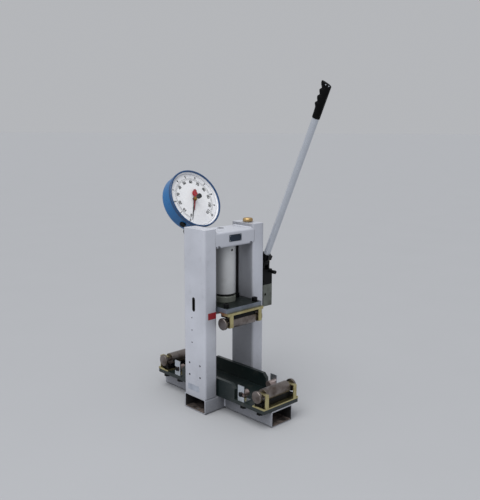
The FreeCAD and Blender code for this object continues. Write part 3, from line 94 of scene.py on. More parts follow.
@dataclass
class ShaderGraph:
    """Node tree of one material, with short calls for the nodes that the finishes share."""

    name: str
    material: Material = field(init=False)
    shader: bpy.types.Node = field(init=False)

    def __post_init__(self) -> None:
        """Makes the material with an empty principled shader."""
        self.material = bpy.data.materials.new(self.name)
        self.material.use_nodes = True
        self.shader = self.material.node_tree.nodes["Principled BSDF"]

    def add(self, kind: str, inputs: Inputs | None = None, **settings: object) -> bpy.types.Node:
        """Adds a node.

        Args:
            kind: Blender's name for the node type.
            inputs: Socket or plain value of its inputs, by their name or number.
            **settings: Attributes to set on the node.

        Returns:
            The new node.
        """
        node = self.material.node_tree.nodes.new(kind)
        for key, value in settings.items():
            setattr(node, key, value)
        self.feed(node, inputs or {})
        return node

    def feed(self, node: bpy.types.Node, inputs: Inputs) -> None:
        """Links or sets a node's inputs.

        Args:
            node: Node to feed.
            inputs: Socket or plain value of its inputs, by their name or number.
        """
        for key, value in inputs.items():
            if isinstance(value, Socket):
                self.material.node_tree.links.new(value, node.inputs[key])
            else:
                node.inputs[key].default_value = value

    def set(self, **values: Socket | float) -> None:
        """Sets the shader's inputs, with underscores for the spaces in their names."""
        self.feed(self.shader, {key.replace("_", " "): value for key, value in values.items()})

    def place(self) -> Socket:
        """Returns the surface point in the machine's own frame, in metres."""
        return self.add("ShaderNodeTexCoord").outputs["Object"]

    def facing(self) -> Socket:
        """Returns the surface's normal."""
        return self.add("ShaderNodeNewGeometry").outputs["Normal"]

    def part(self, vector: Socket, axis: str) -> Socket:
        """Returns a vector's part along X, Y or Z."""
        return self.add("ShaderNodeSeparateXYZ", {0: vector}).outputs[axis]

    def noise(self, pattern: Pattern) -> Socket:
        """Makes a pattern's noise, without its levels.

        Args:
            pattern: Pattern to follow.

        Returns:
            The noise over the surface.
        """
        shift = (pattern.shift, pattern.shift * 0.7, -pattern.shift)
        inputs = {"Vector": self.place(), "Location": shift, "Scale": pattern.grain.value}
        moved = self.add("ShaderNodeMapping", inputs).outputs["Vector"]
        inputs = {"Vector": moved, "Scale": pattern.scale, "Detail": pattern.detail}
        return self.add("ShaderNodeTexNoise", inputs).outputs["Fac"]

    def span(self, value: Socket, low: float, high: float, to_low: float = 0.0, to_high: float = 1.0) -> Socket:
        """Returns a value mapped from low and high to to_low and to_high, and held between them."""
        inputs = {"Value": value, "From Min": low, "From Max": high, "To Min": to_low, "To Max": to_high}
        return self.add("ShaderNodeMapRange", inputs, clamp=True).outputs["Result"]

    def spread(self, pattern: Pattern, to_low: float = 0.0, to_high: float = 1.0) -> Socket:
        """Returns a pattern between its levels, as to_low to to_high."""
        return self.span(self.noise(pattern), pattern.low, pattern.high, to_low, to_high)

    def combine(self, operation: str, first: Socket, second: Socket | float) -> Socket:
        """Returns two values combined by a math operation of Blender's."""
        return self.add("ShaderNodeMath", {0: first, 1: second}, operation=operation).outputs[0]

    def times(self, first: Socket, second: Socket | float) -> Socket:
        """Returns the product of two values."""
        return self.combine("MULTIPLY", first, second)

    def blend(self, share: Socket, low: Color | Socket, high: Color | Socket) -> Socket:
        """Returns two colours mixed, with share as how much of the second shows."""
        return self.add("ShaderNodeMix", {"Factor": share, 6: low, 7: high}, data_type="RGBA").outputs[2]

    def cloudy(self, pattern: Pattern, tone: Tone, share: float) -> Socket:
        """Returns a colour that a pattern dims to a share of it."""
        return self.blend(self.spread(pattern), linear(tone), linear(tone, share))

    def dot(self, first: Socket, second: Socket | Point) -> Socket:
        """Returns the dot product of two vectors."""
        return self.add("ShaderNodeVectorMath", {0: first, 1: second}, operation="DOT_PRODUCT").outputs["Value"]

    def edge_normal(self, radius: float) -> Socket:
        """Returns a normal that rounds the edges over a radius in millimetres."""
        return self.add("ShaderNodeBevel", {"Radius": radius * MM}, samples=4).outputs["Normal"]

    def edges(self, radius: float) -> Socket:
        """Returns a mark that is 0 on flats and 1 on edges, as wide as a radius in millimetres."""
        return self.span(self.dot(self.edge_normal(radius), self.facing()), *EDGE_COSINES)

    def worn(self, radius: float, chips: Pattern, share: float, least: float = 0.0) -> Socket:
        """Returns a mark of worn edges, at most share, which chips lower to the least part of it."""
        return self.times(self.times(self.edges(radius), self.spread(chips, least)), share)

    def painted_corner_shade(self, distance: float, most: float) -> Socket:
        """Returns a mark of painted shade where neighbours within a distance block the light, up to most in
        deep corners.
        """
        light = self.add("ShaderNodeAmbientOcclusion", {"Distance": distance}, samples=5).outputs["AO"]
        return self.span(light, *SHELTERED_LIGHT, 0.0, most)

    def within(self, limits: tuple[Pair, ...]) -> Socket:
        """Marks a box that is the same on both sides of the machine's middle planes.

        Args:
            limits: Least and greatest |X|, |Y| and Z, in metres.

        Returns:
            A value that is 1 in the box and 0 outside.
        """
        mark = None
        for axis, (low, high) in zip("XYZ", limits):
            value = self.part(self.place(), axis)
            if axis != "Z":
                value = self.combine("ABSOLUTE", value, 0.0)
            for test, limit in (("GREATER_THAN", low), ("LESS_THAN", high)):
                passed = self.combine(test, value, limit)
                mark = passed if mark is None else self.times(mark, passed)
        return mark

    def relief(self, rounding: float, *layers: Pattern) -> None:
        """Sets the surface relief over rounded edges.

        Args:
            rounding: Radius of the rounded edges, in millimetres.
            *layers: Patterns that are raised by their heights.
        """
        normal = self.edge_normal(rounding)
        for layer in layers:
            inputs = {"Height": self.noise(layer), "Distance": layer.height * MM, "Strength": 1.0}
            normal = self.add("ShaderNodeBump", inputs | {"Normal": normal}).outputs["Normal"]
        self.set(Normal=normal)


def linear(tone: Tone, share: float = 1.0) -> Color:
    """Turns a screen colour, 0 to 255, into a share of the linear colour that shaders take.

    Args:
        tone: Screen colour.
        share: Share of its light that is kept.

    Returns:
        The colour, opaque.
    """
    shares = [c / 255 for c in tone]
    parts = [c / 12.92 if c <= 0.04045 else ((c + 0.055) / 1.055) ** 2.4 for c in shares]
    return (*(share * c for c in parts), 1.0)


@dataclass(frozen=True)
class Finish:
    """Look of a surface, under the name of its material."""

    name: str

    def lay(self, g: ShaderGraph) -> None:
        """Fills the graph of the finish's material."""
        raise NotImplementedError


@functools.cache
def material_of(finish: Finish) -> Material:
    """Makes a finish's material at its first call.

    Args:
        finish: Finish to lay.

    Returns:
        The one material of the finish.
    """
    g = ShaderGraph(finish.name)
    finish.lay(g)
    return g.material


@dataclass(frozen=True)
class Paint(Finish):
    """Sprayed paint with soft orange peel, grime in patches, worn edges and, where set, painted shade in
    sheltered corners. Its rounding is in millimetres.
    """

    tone: Tone
    worn: Tone = (150, 150, 148)
    grime: Tone = (70, 66, 60)
    rough: float = 0.42
    wear: float = 0.45
    dirt: float = 0.35
    coat: float = 0.15
    floor_dirt: bool = False
    # shade: how much painted shade darkens the paint in sheltered corners and between parts; 0 for none.
    shade: float = 0.0
    rounding: float = 0.9
    hollows: tuple[tuple[Pair, ...], ...] = ()
    raw: Tone = (42, 42, 42)
    dusty: Tone = (128, 116, 110)
    clouds: Pattern = Pattern(9.0, 4.0, 0.35, 0.68)
    patches: Pattern = Pattern(34.0, 6.0, 0.58, 0.80, shift=3.1)
    splashes: Pattern = Pattern(150.0, 5.0, 0.35, 0.65, shift=1.3)
    chips: Pattern = Pattern(210.0, 5.0, 0.52, 0.60, shift=5.7)
    dust: Pattern = Pattern(80.0, 5.0)
    sheen: Pattern = Pattern(60.0, 4.0, shift=8.0)
    peel: Pattern = Pattern(900.0, 2.0, height=0.06)
    waves: Pattern = Pattern(26.0, 3.0, shift=2.0, height=0.12)
    cloud_share: float = 0.86
    splash_top: float = 0.07
    splash_share: float = 0.22
    wear_width: float = 1.3
    # Reach in metres of the painted shade, and the share of the tone left in its darkest places.
    shade_reach: float = 0.22
    shade_tone: float = 0.15
    dusty_slope: Pair = (0.4, 0.9)
    rough_range: Pair = (-0.07, 0.12)
    coat_rough: float = 0.25

    def lay(self, g: ShaderGraph) -> None:
        """Fills the material's graph.

        Args:
            g: Graph to fill.
        """
        grime = linear(self.grime)
        tone = g.cloudy(self.clouds, self.tone, self.cloud_share)
        tone = g.blend(g.spread(self.patches, 0.0, self.dirt), tone, grime)
        if self.floor_dirt:
            low = g.span(g.part(g.place(), "Z"), self.splash_top, 0.0, 0.0, self.splash_share)
            tone = g.blend(g.times(low, g.spread(self.splashes)), tone, grime)
        tone = g.blend(g.worn(self.wear_width, self.chips, self.wear), tone, linear(self.worn))
        # Painted shade: the paint is darkened where nearby parts block the light.
        if self.shade:
            tone = g.blend(g.painted_corner_shade(self.shade_reach, self.shade), tone, linear(self.tone, self.shade_tone))
        if self.hollows:
            tone = self.bare_inside(g, tone)
        rough = g.spread(self.sheen, *(self.rough + change for change in self.rough_range))
        g.set(Base_Color=tone, Roughness=rough, Coat_Weight=self.coat, Coat_Roughness=self.coat_rough)
        g.relief(self.rounding, self.peel, self.waves)

    def bare_inside(self, g: ShaderGraph, tone: Socket) -> Socket:
        """Leaves the insides of the tubes unpainted, with dust on what faces up.

        Args:
            g: Graph of the paint.
            tone: Colour of the painted faces.

        Returns:
            The colour of all faces.
        """
        upward = g.times(g.span(g.part(g.facing(), "Z"), *self.dusty_slope), g.spread(self.dust))
        inner = g.blend(upward, linear(self.raw), linear(self.dusty))
        for limits in self.hollows:
            tone = g.blend(g.within(limits), tone, inner)
        return tone


@dataclass(frozen=True)
class Steel(Finish):
    """Bare or plated metal with fine marks one way, stains and bright edges, measured in millimetres."""

    tone: Tone
    stain: Tone
    grain: Grain = Grain.NONE
    rough: float = 0.38
    metal: float = 1.0
    stain_share: float = 0.6
    mark_height: float = 0.03
    edge: Tone = (200, 200, 198)
    edge_share: float = 0.35
    edge_radius: float = 0.7
    stains: Pattern = Pattern(38.0, 6.0, 0.42, 0.72, shift=1.0)
    flecks: Pattern = Pattern(420.0, 3.0, 0.60, 0.72, shift=4.0)
    chips: Pattern = Pattern(180.0, 4.0, 0.40, 0.62, shift=6.0)
    waves: Pattern = Pattern(55.0, 3.0, shift=7.0, height=0.08)
    fleck_share: float = 0.5
    wear_spread: float = 1.4
    wear_least: float = 0.15
    uneven_range: Pair = (0.3, 1.2)
    rough_range: Pair = (-0.10, 0.16)

    def lay(self, g: ShaderGraph) -> None:
        """Fills the material's graph.

        Args:
            g: Graph to fill.
        """
        stained = g.spread(self.stains, 0.0, self.stain_share)
        tone = g.blend(stained, linear(self.tone), linear(self.stain))
        flecked = g.spread(self.flecks, 0.0, self.fleck_share * self.stain_share)
        tone = g.blend(flecked, tone, linear(self.stain))
        bright = g.worn(self.edge_radius * self.wear_spread, self.chips, self.edge_share, self.wear_least)
        marks = Pattern(1400.0, 4.0, shift=2.0, grain=self.grain, height=self.mark_height)
        uneven = g.combine("ADD", g.noise(marks), stained)
        rough = g.span(uneven, *self.uneven_range, *(self.rough + change for change in self.rough_range))
        g.set(Base_Color=g.blend(bright, tone, linear(self.edge)), Roughness=rough, Metallic=self.metal)
        g.relief(self.edge_radius, marks, self.waves)


@dataclass(frozen=True)
class Blackened(Finish):
    """Oil-blackened steel: dark, faintly blue, with rubbed brown and bright edges."""

    tone: Tone = (6, 7, 9)
    rubbed: Tone = (74, 70, 64)
    clouds: Pattern = Pattern(30.0, 5.0, 0.38, 0.70)
    chips: Pattern = Pattern(160.0, 5.0, 0.42, 0.62, shift=3.0)
    sheen: Pattern = Pattern(90.0, 5.0, shift=5.0)
    skin: Pattern = Pattern(700.0, 4.0, height=0.03)
    waves: Pattern = Pattern(40.0, 3.0, shift=9.0, height=0.1)
    cloud_share: float = 1.7
    wear: float = 0.5
    wear_width: float = 1.0
    rough: Pair = (0.30, 0.54)
    metal: float = 0.2
    gloss: float = 0.18
    rounding: float = 0.7

    def lay(self, g: ShaderGraph) -> None:
        """Fills the material's graph.

        Args:
            g: Graph to fill.
        """
        tone = g.cloudy(self.clouds, self.tone, self.cloud_share)
        tone = g.blend(g.worn(self.wear_width, self.chips, self.wear), tone, linear(self.rubbed))
        rough = g.spread(self.sheen, *self.rough)
        g.set(Base_Color=tone, Roughness=rough, Metallic=self.metal, Specular_IOR_Level=self.gloss)
        g.relief(self.rounding, self.skin, self.waves)


@dataclass(frozen=True)
class Moulding(Finish):
    """Moulded rubber or plastic with dust, rubbed high spots and a fine skin, its height in millimetres."""

    tone: Tone = (12, 12, 13)
    dust: Tone = (60, 59, 56)
    rough: float = 0.55
    skin_height: float = 0.05
    gloss: float = 0.22
    dusty: Pattern = Pattern(45.0, 5.0, 0.50, 0.80)
    sheen: Pattern = Pattern(120.0, 4.0, shift=2.0)
    dust_share: float = 0.30
    edge_width: float = 1.2
    edge_share: float = 0.25
    rough_range: Pair = (-0.10, 0.15)
    rounding: float = 0.8

    def lay(self, g: ShaderGraph) -> None:
        """Fills the material's graph.

        Args:
            g: Graph to fill.
        """
        tone = g.blend(g.spread(self.dusty, 0.0, self.dust_share), linear(self.tone), linear(self.dust))
        tone = g.blend(g.times(g.edges(self.edge_width), self.edge_share), tone, linear(self.dust))
        rough = g.spread(self.sheen, *(self.rough + change for change in self.rough_range))
        g.set(Base_Color=tone, Roughness=rough, Specular_IOR_Level=self.gloss)
        g.relief(self.rounding, Pattern(1800.0, 2.0, height=self.skin_height))


@dataclass(frozen=True)
class Glass(Finish):
    """Clear flat glass that lets most light straight through, with a trace of dust."""

    tint: Pattern = Pattern(30.0, 3.0)
    smears: Pattern = Pattern(80.0, 5.0, 0.4, 0.8, shift=1.0)
    dust: Pattern = Pattern(60.0, 5.0, 0.45, 0.85, shift=3.0)
    tones: tuple[Tone, Tone] = ((236, 244, 246), (246, 250, 250))
    rough: Pair = (0.03, 0.10)
    dust_range: Pair = (0.02, 0.06)
    bending: float = 1.45
    gloss: float = 0.25

    def lay(self, g: ShaderGraph) -> None:
        """Fills the material's graph.

        Args:
            g: Graph to fill.
        """
        tone = g.blend(g.noise(self.tint), *map(linear, self.tones))
        g.set(Base_Color=tone, Roughness=g.spread(self.smears, *self.rough))
        g.set(Alpha=g.spread(self.dust, *self.dust_range), IOR=self.bending, Specular_IOR_Level=self.gloss)


@dataclass(frozen=True)
class DialPaper(Finish):
    """Matt white printed plate, faintly uneven."""

    clouds: Pattern = Pattern(22.0, 5.0, 0.4, 0.75)
    sheen: Pattern = Pattern(200.0, 3.0)
    skin: Pattern = Pattern(1500.0, 2.0, height=0.01)
    tones: tuple[Tone, Tone] = ((252, 252, 254), (240, 240, 244))
    rough: Pair = (0.48, 0.62)
    rounding: float = 0.3

    def lay(self, g: ShaderGraph) -> None:
        """Fills the material's graph.

        Args:
            g: Graph to fill.
        """
        tone = g.blend(g.spread(self.clouds), *map(linear, self.tones))
        g.set(Base_Color=tone, Roughness=g.spread(self.sheen, *self.rough))
        g.relief(self.rounding, self.skin)


@dataclass(frozen=True)
class Split(Finish):
    """Two plain metal tones on one piece, told apart by which side of a plane or plane pair they lie on."""

    inside: Tone
    outside: Tone
    axis: str
    limit: float
    both_ways: bool = False
    clouds: Pattern = Pattern(60.0, 5.0, 0.40, 0.70)
    sheen: Pattern = Pattern(140.0, 4.0, shift=4.0)
    marks: Pattern = Pattern(900.0, 3.0, grain=Grain.AROUND_X, height=0.03)
    cloud_share: float = 0.72
    edge: Tone = (170, 168, 160)
    edge_width: float = 0.9
    edge_share: float = 0.35
    rough: Pair = (0.30, 0.48)
    metal: float = 0.8
    rounding: float = 0.6

    def lay(self, g: ShaderGraph) -> None:
        """Fills the material's graph.

        Args:
            g: Graph to fill.
        """
        along = g.part(g.place(), self.axis)
        if self.both_ways:
            along = g.combine("ABSOLUTE", along, 0.0)
        outer = g.combine("GREATER_THAN", along, self.limit)
        tones = [g.cloudy(self.clouds, tone, self.cloud_share) for tone in (self.inside, self.outside)]
        bright = g.times(g.edges(self.edge_width), self.edge_share)
        tone = g.blend(bright, g.blend(outer, *tones), linear(self.edge))
        g.set(Base_Color=tone, Roughness=g.spread(self.sheen, *self.rough), Metallic=self.metal)
        g.relief(self.rounding, self.marks)


@dataclass(frozen=True)
class OiledPlate(Finish):
    """Steel plate with machined grey edges and a dark oily top."""

    side: Tone = (126, 134, 146)
    top: Tone = (44, 52, 50)
    clouds: Pattern = Pattern(40.0, 6.0, 0.38, 0.70)
    chips: Pattern = Pattern(170.0, 5.0, 0.42, 0.62, shift=6.0)
    sheen: Pattern = Pattern(70.0, 5.0, shift=3.0)
    marks: Pattern = Pattern(1300.0, 3.0, grain=Grain.ALONG_X, height=0.03)
    waves: Pattern = Pattern(50.0, 3.0, shift=2.0, height=0.08)
    side_share: float = 0.7
    top_share: float = 0.6
    top_slope: Pair = (0.5, 0.9)
    edge: Tone = (150, 154, 158)
    edge_width: float = 1.0
    edge_share: float = 0.8
    edge_least: float = 0.125
    rough: Pair = (0.30, 0.50)
    metal: float = 0.6
    rounding: float = 0.7

    def lay(self, g: ShaderGraph) -> None:
        """Fills the material's graph.

        Args:
            g: Graph to fill.
        """
        upward = g.span(g.part(g.facing(), "Z"), *self.top_slope)
        side = g.cloudy(self.clouds, self.side, self.side_share)
        top = g.cloudy(self.clouds, self.top, self.top_share)
        bright = g.worn(self.edge_width, self.chips, self.edge_share, self.edge_least)
        tone = g.blend(bright, g.blend(upward, side, top), linear(self.edge))
        g.set(Base_Color=tone, Roughness=g.spread(self.sheen, *self.rough), Metallic=self.metal)
        g.relief(self.rounding, self.marks, self.waves)


@dataclass(frozen=True)
class FollowerFinish(Finish):
    """Red hand, brass stud and black knob on one piece, told apart by how far out they stand."""

    centre: Point
    outward: Point
    knob_from: float
    stud_from: float
    red: tuple[Tone, Tone] = ((160, 8, 28), (128, 6, 22))
    brass: tuple[Tone, Tone] = ((186, 158, 96), (150, 124, 70))
    black: tuple[Tone, Tone] = ((22, 22, 24), (40, 40, 42))
    sheen: Pattern = Pattern(400.0, 3.0)
    skin: Pattern = Pattern(900.0, 2.0, height=0.02)
    rough: Pair = (0.32, 0.46)
    rounding: float = 0.3

    def lay(self, g: ShaderGraph) -> None:
        """Fills the material's graph.

        Args:
            g: Graph to fill.
        """
        offset = g.add("ShaderNodeVectorMath", {0: g.place(), 1: self.centre}, operation="SUBTRACT")
        out = g.dot(offset.outputs[0], self.outward)
        on_stud = g.combine("GREATER_THAN", out, self.stud_from)
        on_knob = g.combine("GREATER_THAN", out, self.knob_from)
        tones = []
        for scale, pair in ((300.0, self.red), (200.0, self.brass), (500.0, self.black)):
            tones.append(g.blend(g.noise(Pattern(scale, 3.0)), *map(linear, pair)))
        tone = g.blend(on_knob, g.blend(on_stud, tones[0], tones[1]), tones[2])
        metal = g.span(g.combine("SUBTRACT", on_stud, on_knob), 0.0, 1.0)
        g.set(Base_Color=tone, Metallic=metal, Roughness=g.spread(self.sheen, *self.rough))
        g.relief(self.rounding, self.skin)


TUBE_INSIDES = (
    ((-1.0, 42.2 * MM), (50 * MM, 300 * MM), (2.8 * MM, 47.2 * MM)),
    ((-1.0, 127.9 * MM), (-1.0, 47.2 * MM), (2.8 * MM, 47.2 * MM)),
    ((80.8 * MM, 125.2 * MM), (-1.0, 47.2 * MM), (50.2 * MM, 583 * MM)),
)
# The frame's shade setting paints shade into its corners and between its parts.
FRAME_PAINT = Paint(
    "frame_paint", (207, 210, 220), grime=(96, 92, 88), rough=0.40, dirt=0.15, floor_dirt=True, shade=0.8,
    hollows=TUBE_INSIDES,
)
# The cylinder's shade setting paints shade on it where the columns and crosshead block the light.
CYLINDER_PAINT = Paint(
    "cylinder_paint", (204, 206, 208), grime=(110, 104, 96), rough=0.45, dirt=0.2, shade=0.45
)
BED_PAINT = Paint("bed_paint", (18, 31, 31), worn=(96, 98, 92), grime=(96, 92, 82), rough=0.38, wear=0.6)
GAUGE_BLUE = Paint("gauge_blue", (30, 108, 170), (120, 150, 186), (30, 50, 80), rough=0.30, wear=0.3)
# The bezel's dark navy is partly painted shade: darker than the case's blue, standing for the shade that falls
# on the bezel.
SHADED_GAUGE_RIM = Paint("gauge_rim", (28, 74, 122), (90, 118, 150), (18, 34, 56), rough=0.3, wear=0.2, rounding=3.5)
BLOCK_PAINT = Paint("block_paint", (112, 116, 108), (150, 150, 142), (60, 58, 50), rough=0.5, dirt=0.5)
RED_FILM = Paint("red_film", (158, 36, 46), (190, 120, 116), (96, 30, 34), rough=0.35, dirt=0.3)
WELD = Paint("weld_paint", (204, 207, 217), grime=(96, 92, 88), rough=0.45, wear=0.2)
ZINC = Steel("yellow_zinc", (196, 186, 138), (150, 136, 92), rough=0.34, edge=(226, 220, 190))
PALE_STEEL = Steel("pale_plate", (206, 212, 218), (166, 170, 172), Grain.ALONG_Z, rough=0.40)
ROLLER_STEEL = Steel("roller_steel", (138, 130, 126), (74, 62, 52), Grain.AROUND_X, rough=0.36, stain_share=0.8)
CHROME = Steel("ram_chrome", (206, 208, 210), (180, 182, 184), Grain.AROUND_Z, rough=0.16, stain_share=0.2)
SPRING = Steel("spring_steel", (120, 120, 120), (80, 78, 74), rough=0.4)
BRONZE = Steel("bronze", (160, 122, 74), (120, 90, 56), Grain.AROUND_Z, rough=0.34)
BRASS = Steel(
    "brass", (200, 170, 118), (150, 118, 74), Grain.AROUND_Z, rough=0.42, metal=0.85, edge=(226, 204, 156)
)
PUMP_ALLOY = Steel("pump_alloy", (124, 128, 122), (84, 84, 76), rough=0.46, mark_height=0.05)
LEVER_STEEL = Steel(
    "lever_steel", (196, 201, 210), (150, 154, 160), Grain.ALONG_Z, rough=0.33, metal=0.35, stain_share=0.15
)
BADGE = Steel("badge_plate", (38, 50, 66), (26, 34, 46), Grain.ALONG_X, rough=0.40, metal=0.5, edge_share=0.6)
WORN_PLATE = Steel(
    "worn_plate", (186, 192, 204), (138, 146, 158), Grain.ALONG_Y, rough=0.45, metal=0.35, stain_share=0.7
)
PLATEN_STEEL = OiledPlate("platen_steel")
BLACK_STEEL = Blackened("black_steel")
BED_BOLT = Split("bed_bolt", BLACK_STEEL.tone, ZINC.tone, "Z", 61.5 * MM)
STOP_PIN = Split("stop_pin", (168, 152, 148), BLACK_STEEL.tone, "X", 74.2 * MM, both_ways=True)
SEAL = Moulding("seal_rubber", (20, 20, 20))
GRIP = Moulding("grip_rubber", (5, 5, 6), (28, 28, 30), gloss=0.12)
KNOB = Moulding("knob_plastic", (10, 10, 11), rough=0.42)
GLASS = Glass("dial_glass")
DIAL = DialPaper("dial_white")
HAND_BLACK = Moulding("hand_black", (8, 8, 9), (24, 24, 25), rough=0.5, skin_height=0.01)
HAND_RED = Moulding("hand_red", (168, 8, 28), (140, 8, 24), rough=0.4, skin_height=0.01)
INK = Moulding("dial_ink", (16, 16, 18), (34, 34, 36), rough=0.6, skin_height=0.01)
SOFT_INK = Moulding("soft_ink", (28, 30, 34), (70, 72, 76), rough=0.6, skin_height=0.01)
FAINT_INK = Moulding("faint_ink", (96, 98, 104), (130, 132, 136), rough=0.6, skin_height=0.01)


def linked(name: str, data: bpy.types.ID) -> bpy.types.Object:
    """Adds an object to the scene.

    Args:
        name: Name of the object.
        data: What it shows.

    Returns:
        The new object.
    """
    made = bpy.data.objects.new(name, data)
    bpy.context.scene.collection.objects.link(made)
    return made


def circle(centre: Vector, across: Vector, up: Vector, radius: float, count: int) -> list[Vector]:
    """Returns points round a circle, from one unit vector in its plane towards the other."""
    turns = [2 * math.pi * i / count for i in range(count)]
    return [centre + across * (radius * math.cos(t)) + up * (radius * math.sin(t)) for t in turns]


class Mesher:
    """Collects faces in one mesh and turns them into a named piece."""

    def __init__(self, name: str) -> None:
        """Starts an empty mesh under a piece's name."""
        self.name = name
        self.mesh = bmesh.new()

    def tube(self, rings: list[list[Vector]], closed: bool = True) -> "Mesher":
        """Joins rings of points with faces.

        Args:
            rings: Rings with the same number of points each.
            closed: Whether the first and last rings get end faces.

        Returns:
            This mesher.
        """
        rows = [[self.mesh.verts.new(p) for p in ring] for ring in rings]
        count = len(rows[0])
        for first, second in zip(rows, rows[1:]):
            for i in range(count):
                j = (i + 1) % count
                self.mesh.faces.new((first[i], first[j], second[j], second[i]))
        if closed:
            self.mesh.faces.new(list(reversed(rows[0])))
            self.mesh.faces.new(rows[-1])
        return self

    def ring(self, rings: list[list[Vector]]) -> "Mesher":
        """Joins rings of points, the last of them like the first, and closes the seam.

        Args:
            rings: Rings with the same number of points each.

        Returns:
            This mesher.
        """
        self.tube(rings, closed=False)
        bmesh.ops.remove_doubles(self.mesh, verts=self.mesh.verts, dist=1e-6)
        return self

    def slab(self, outline: list[Vector], rise: Vector) -> "Mesher":
        """Adds a flat plate with an outline and a thickness vector."""
        return self.tube([outline, [p + rise for p in outline]])

    def turned(self, at: Vector, axes: tuple[Vector, ...], profile: tuple[Pair, ...], count: int) -> "Mesher":
        """Adds a solid turned about the first of three unit axes, its heights and radii in millimetres."""
        axis, across, up = axes
        return self.tube([circle(at + axis * (z * MM), across, up, r * MM, count) for z, r in profile])

    def finish(
        self, body: str, slot: str, finish: Finish, smooth: float = 35.0, bevel: float = 0.0
    ) -> bpy.types.Object:
        """Makes the piece and sets it on its body.

        Args:
            body: CAD body that carries the piece.
            slot: Material slot of the record; not used.
            finish: Finish to wear.
            smooth: Angle in degrees below which edges are shaded smooth.
            bevel: Width of rounded edges, in metres.

        Returns:
            The new object.
        """
        bmesh.ops.recalc_face_normals(self.mesh, faces=self.mesh.faces)
        data = bpy.data.meshes.new(self.name)
        self.mesh.to_mesh(data)
        self.mesh.free()
        data.shade_smooth()
        data.set_sharp_from_angle(angle=math.radians(smooth))
        piece = place_piece(self.name, data, body, finish)
        if bevel:
            modifier = piece.modifiers.new("edges", "BEVEL")
            modifier.width = bevel
            modifier.segments = 2
            modifier.limit_method = "ANGLE"
        return piece


def place_piece(name: str, data: bpy.types.Mesh, body: str, finish: Finish) -> bpy.types.Object:
    """Sets a mesh on a CAD body as a named piece.

    Args:
        name: Name of the piece.
        data: Its mesh, in the machine's own frame.
        body: CAD body that carries the piece.
        finish: Finish to wear.

    Returns:
        The new object.
    """
    data.materials.clear()
    data.materials.append(material_of(finish))
    piece = linked(name, data)
    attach(piece, body)
    LOG.info("piece %s on %s", name, body)
    return piece


class Assembly:
    """Group of the machine's CAD nodes with the small pieces that dress them."""

    def finishes(self) -> dict[str, Finish]:
        """Returns the finish of each of its CAD nodes."""
        raise NotImplementedError

    def dress(self) -> None:
        """Gives its CAD nodes their materials."""
        for name, finish in self.finishes().items():
            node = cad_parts[name]
            node.data.materials.clear()
            node.data.materials.append(material_of(finish))
            LOG.info("node %s wears %s", name, finish.name)

    def build(self) -> None:
        """Adds its small pieces, where it has any."""


@dataclass(frozen=True)
class Plate:
    """Thin bare plate with rounded corners, with its sizes in millimetres."""

    name: str
    centre: Point
    half_width: Point
    half_height: Point
    thickness: float
    finish: Finish
    slot: str
    riveted: bool = False


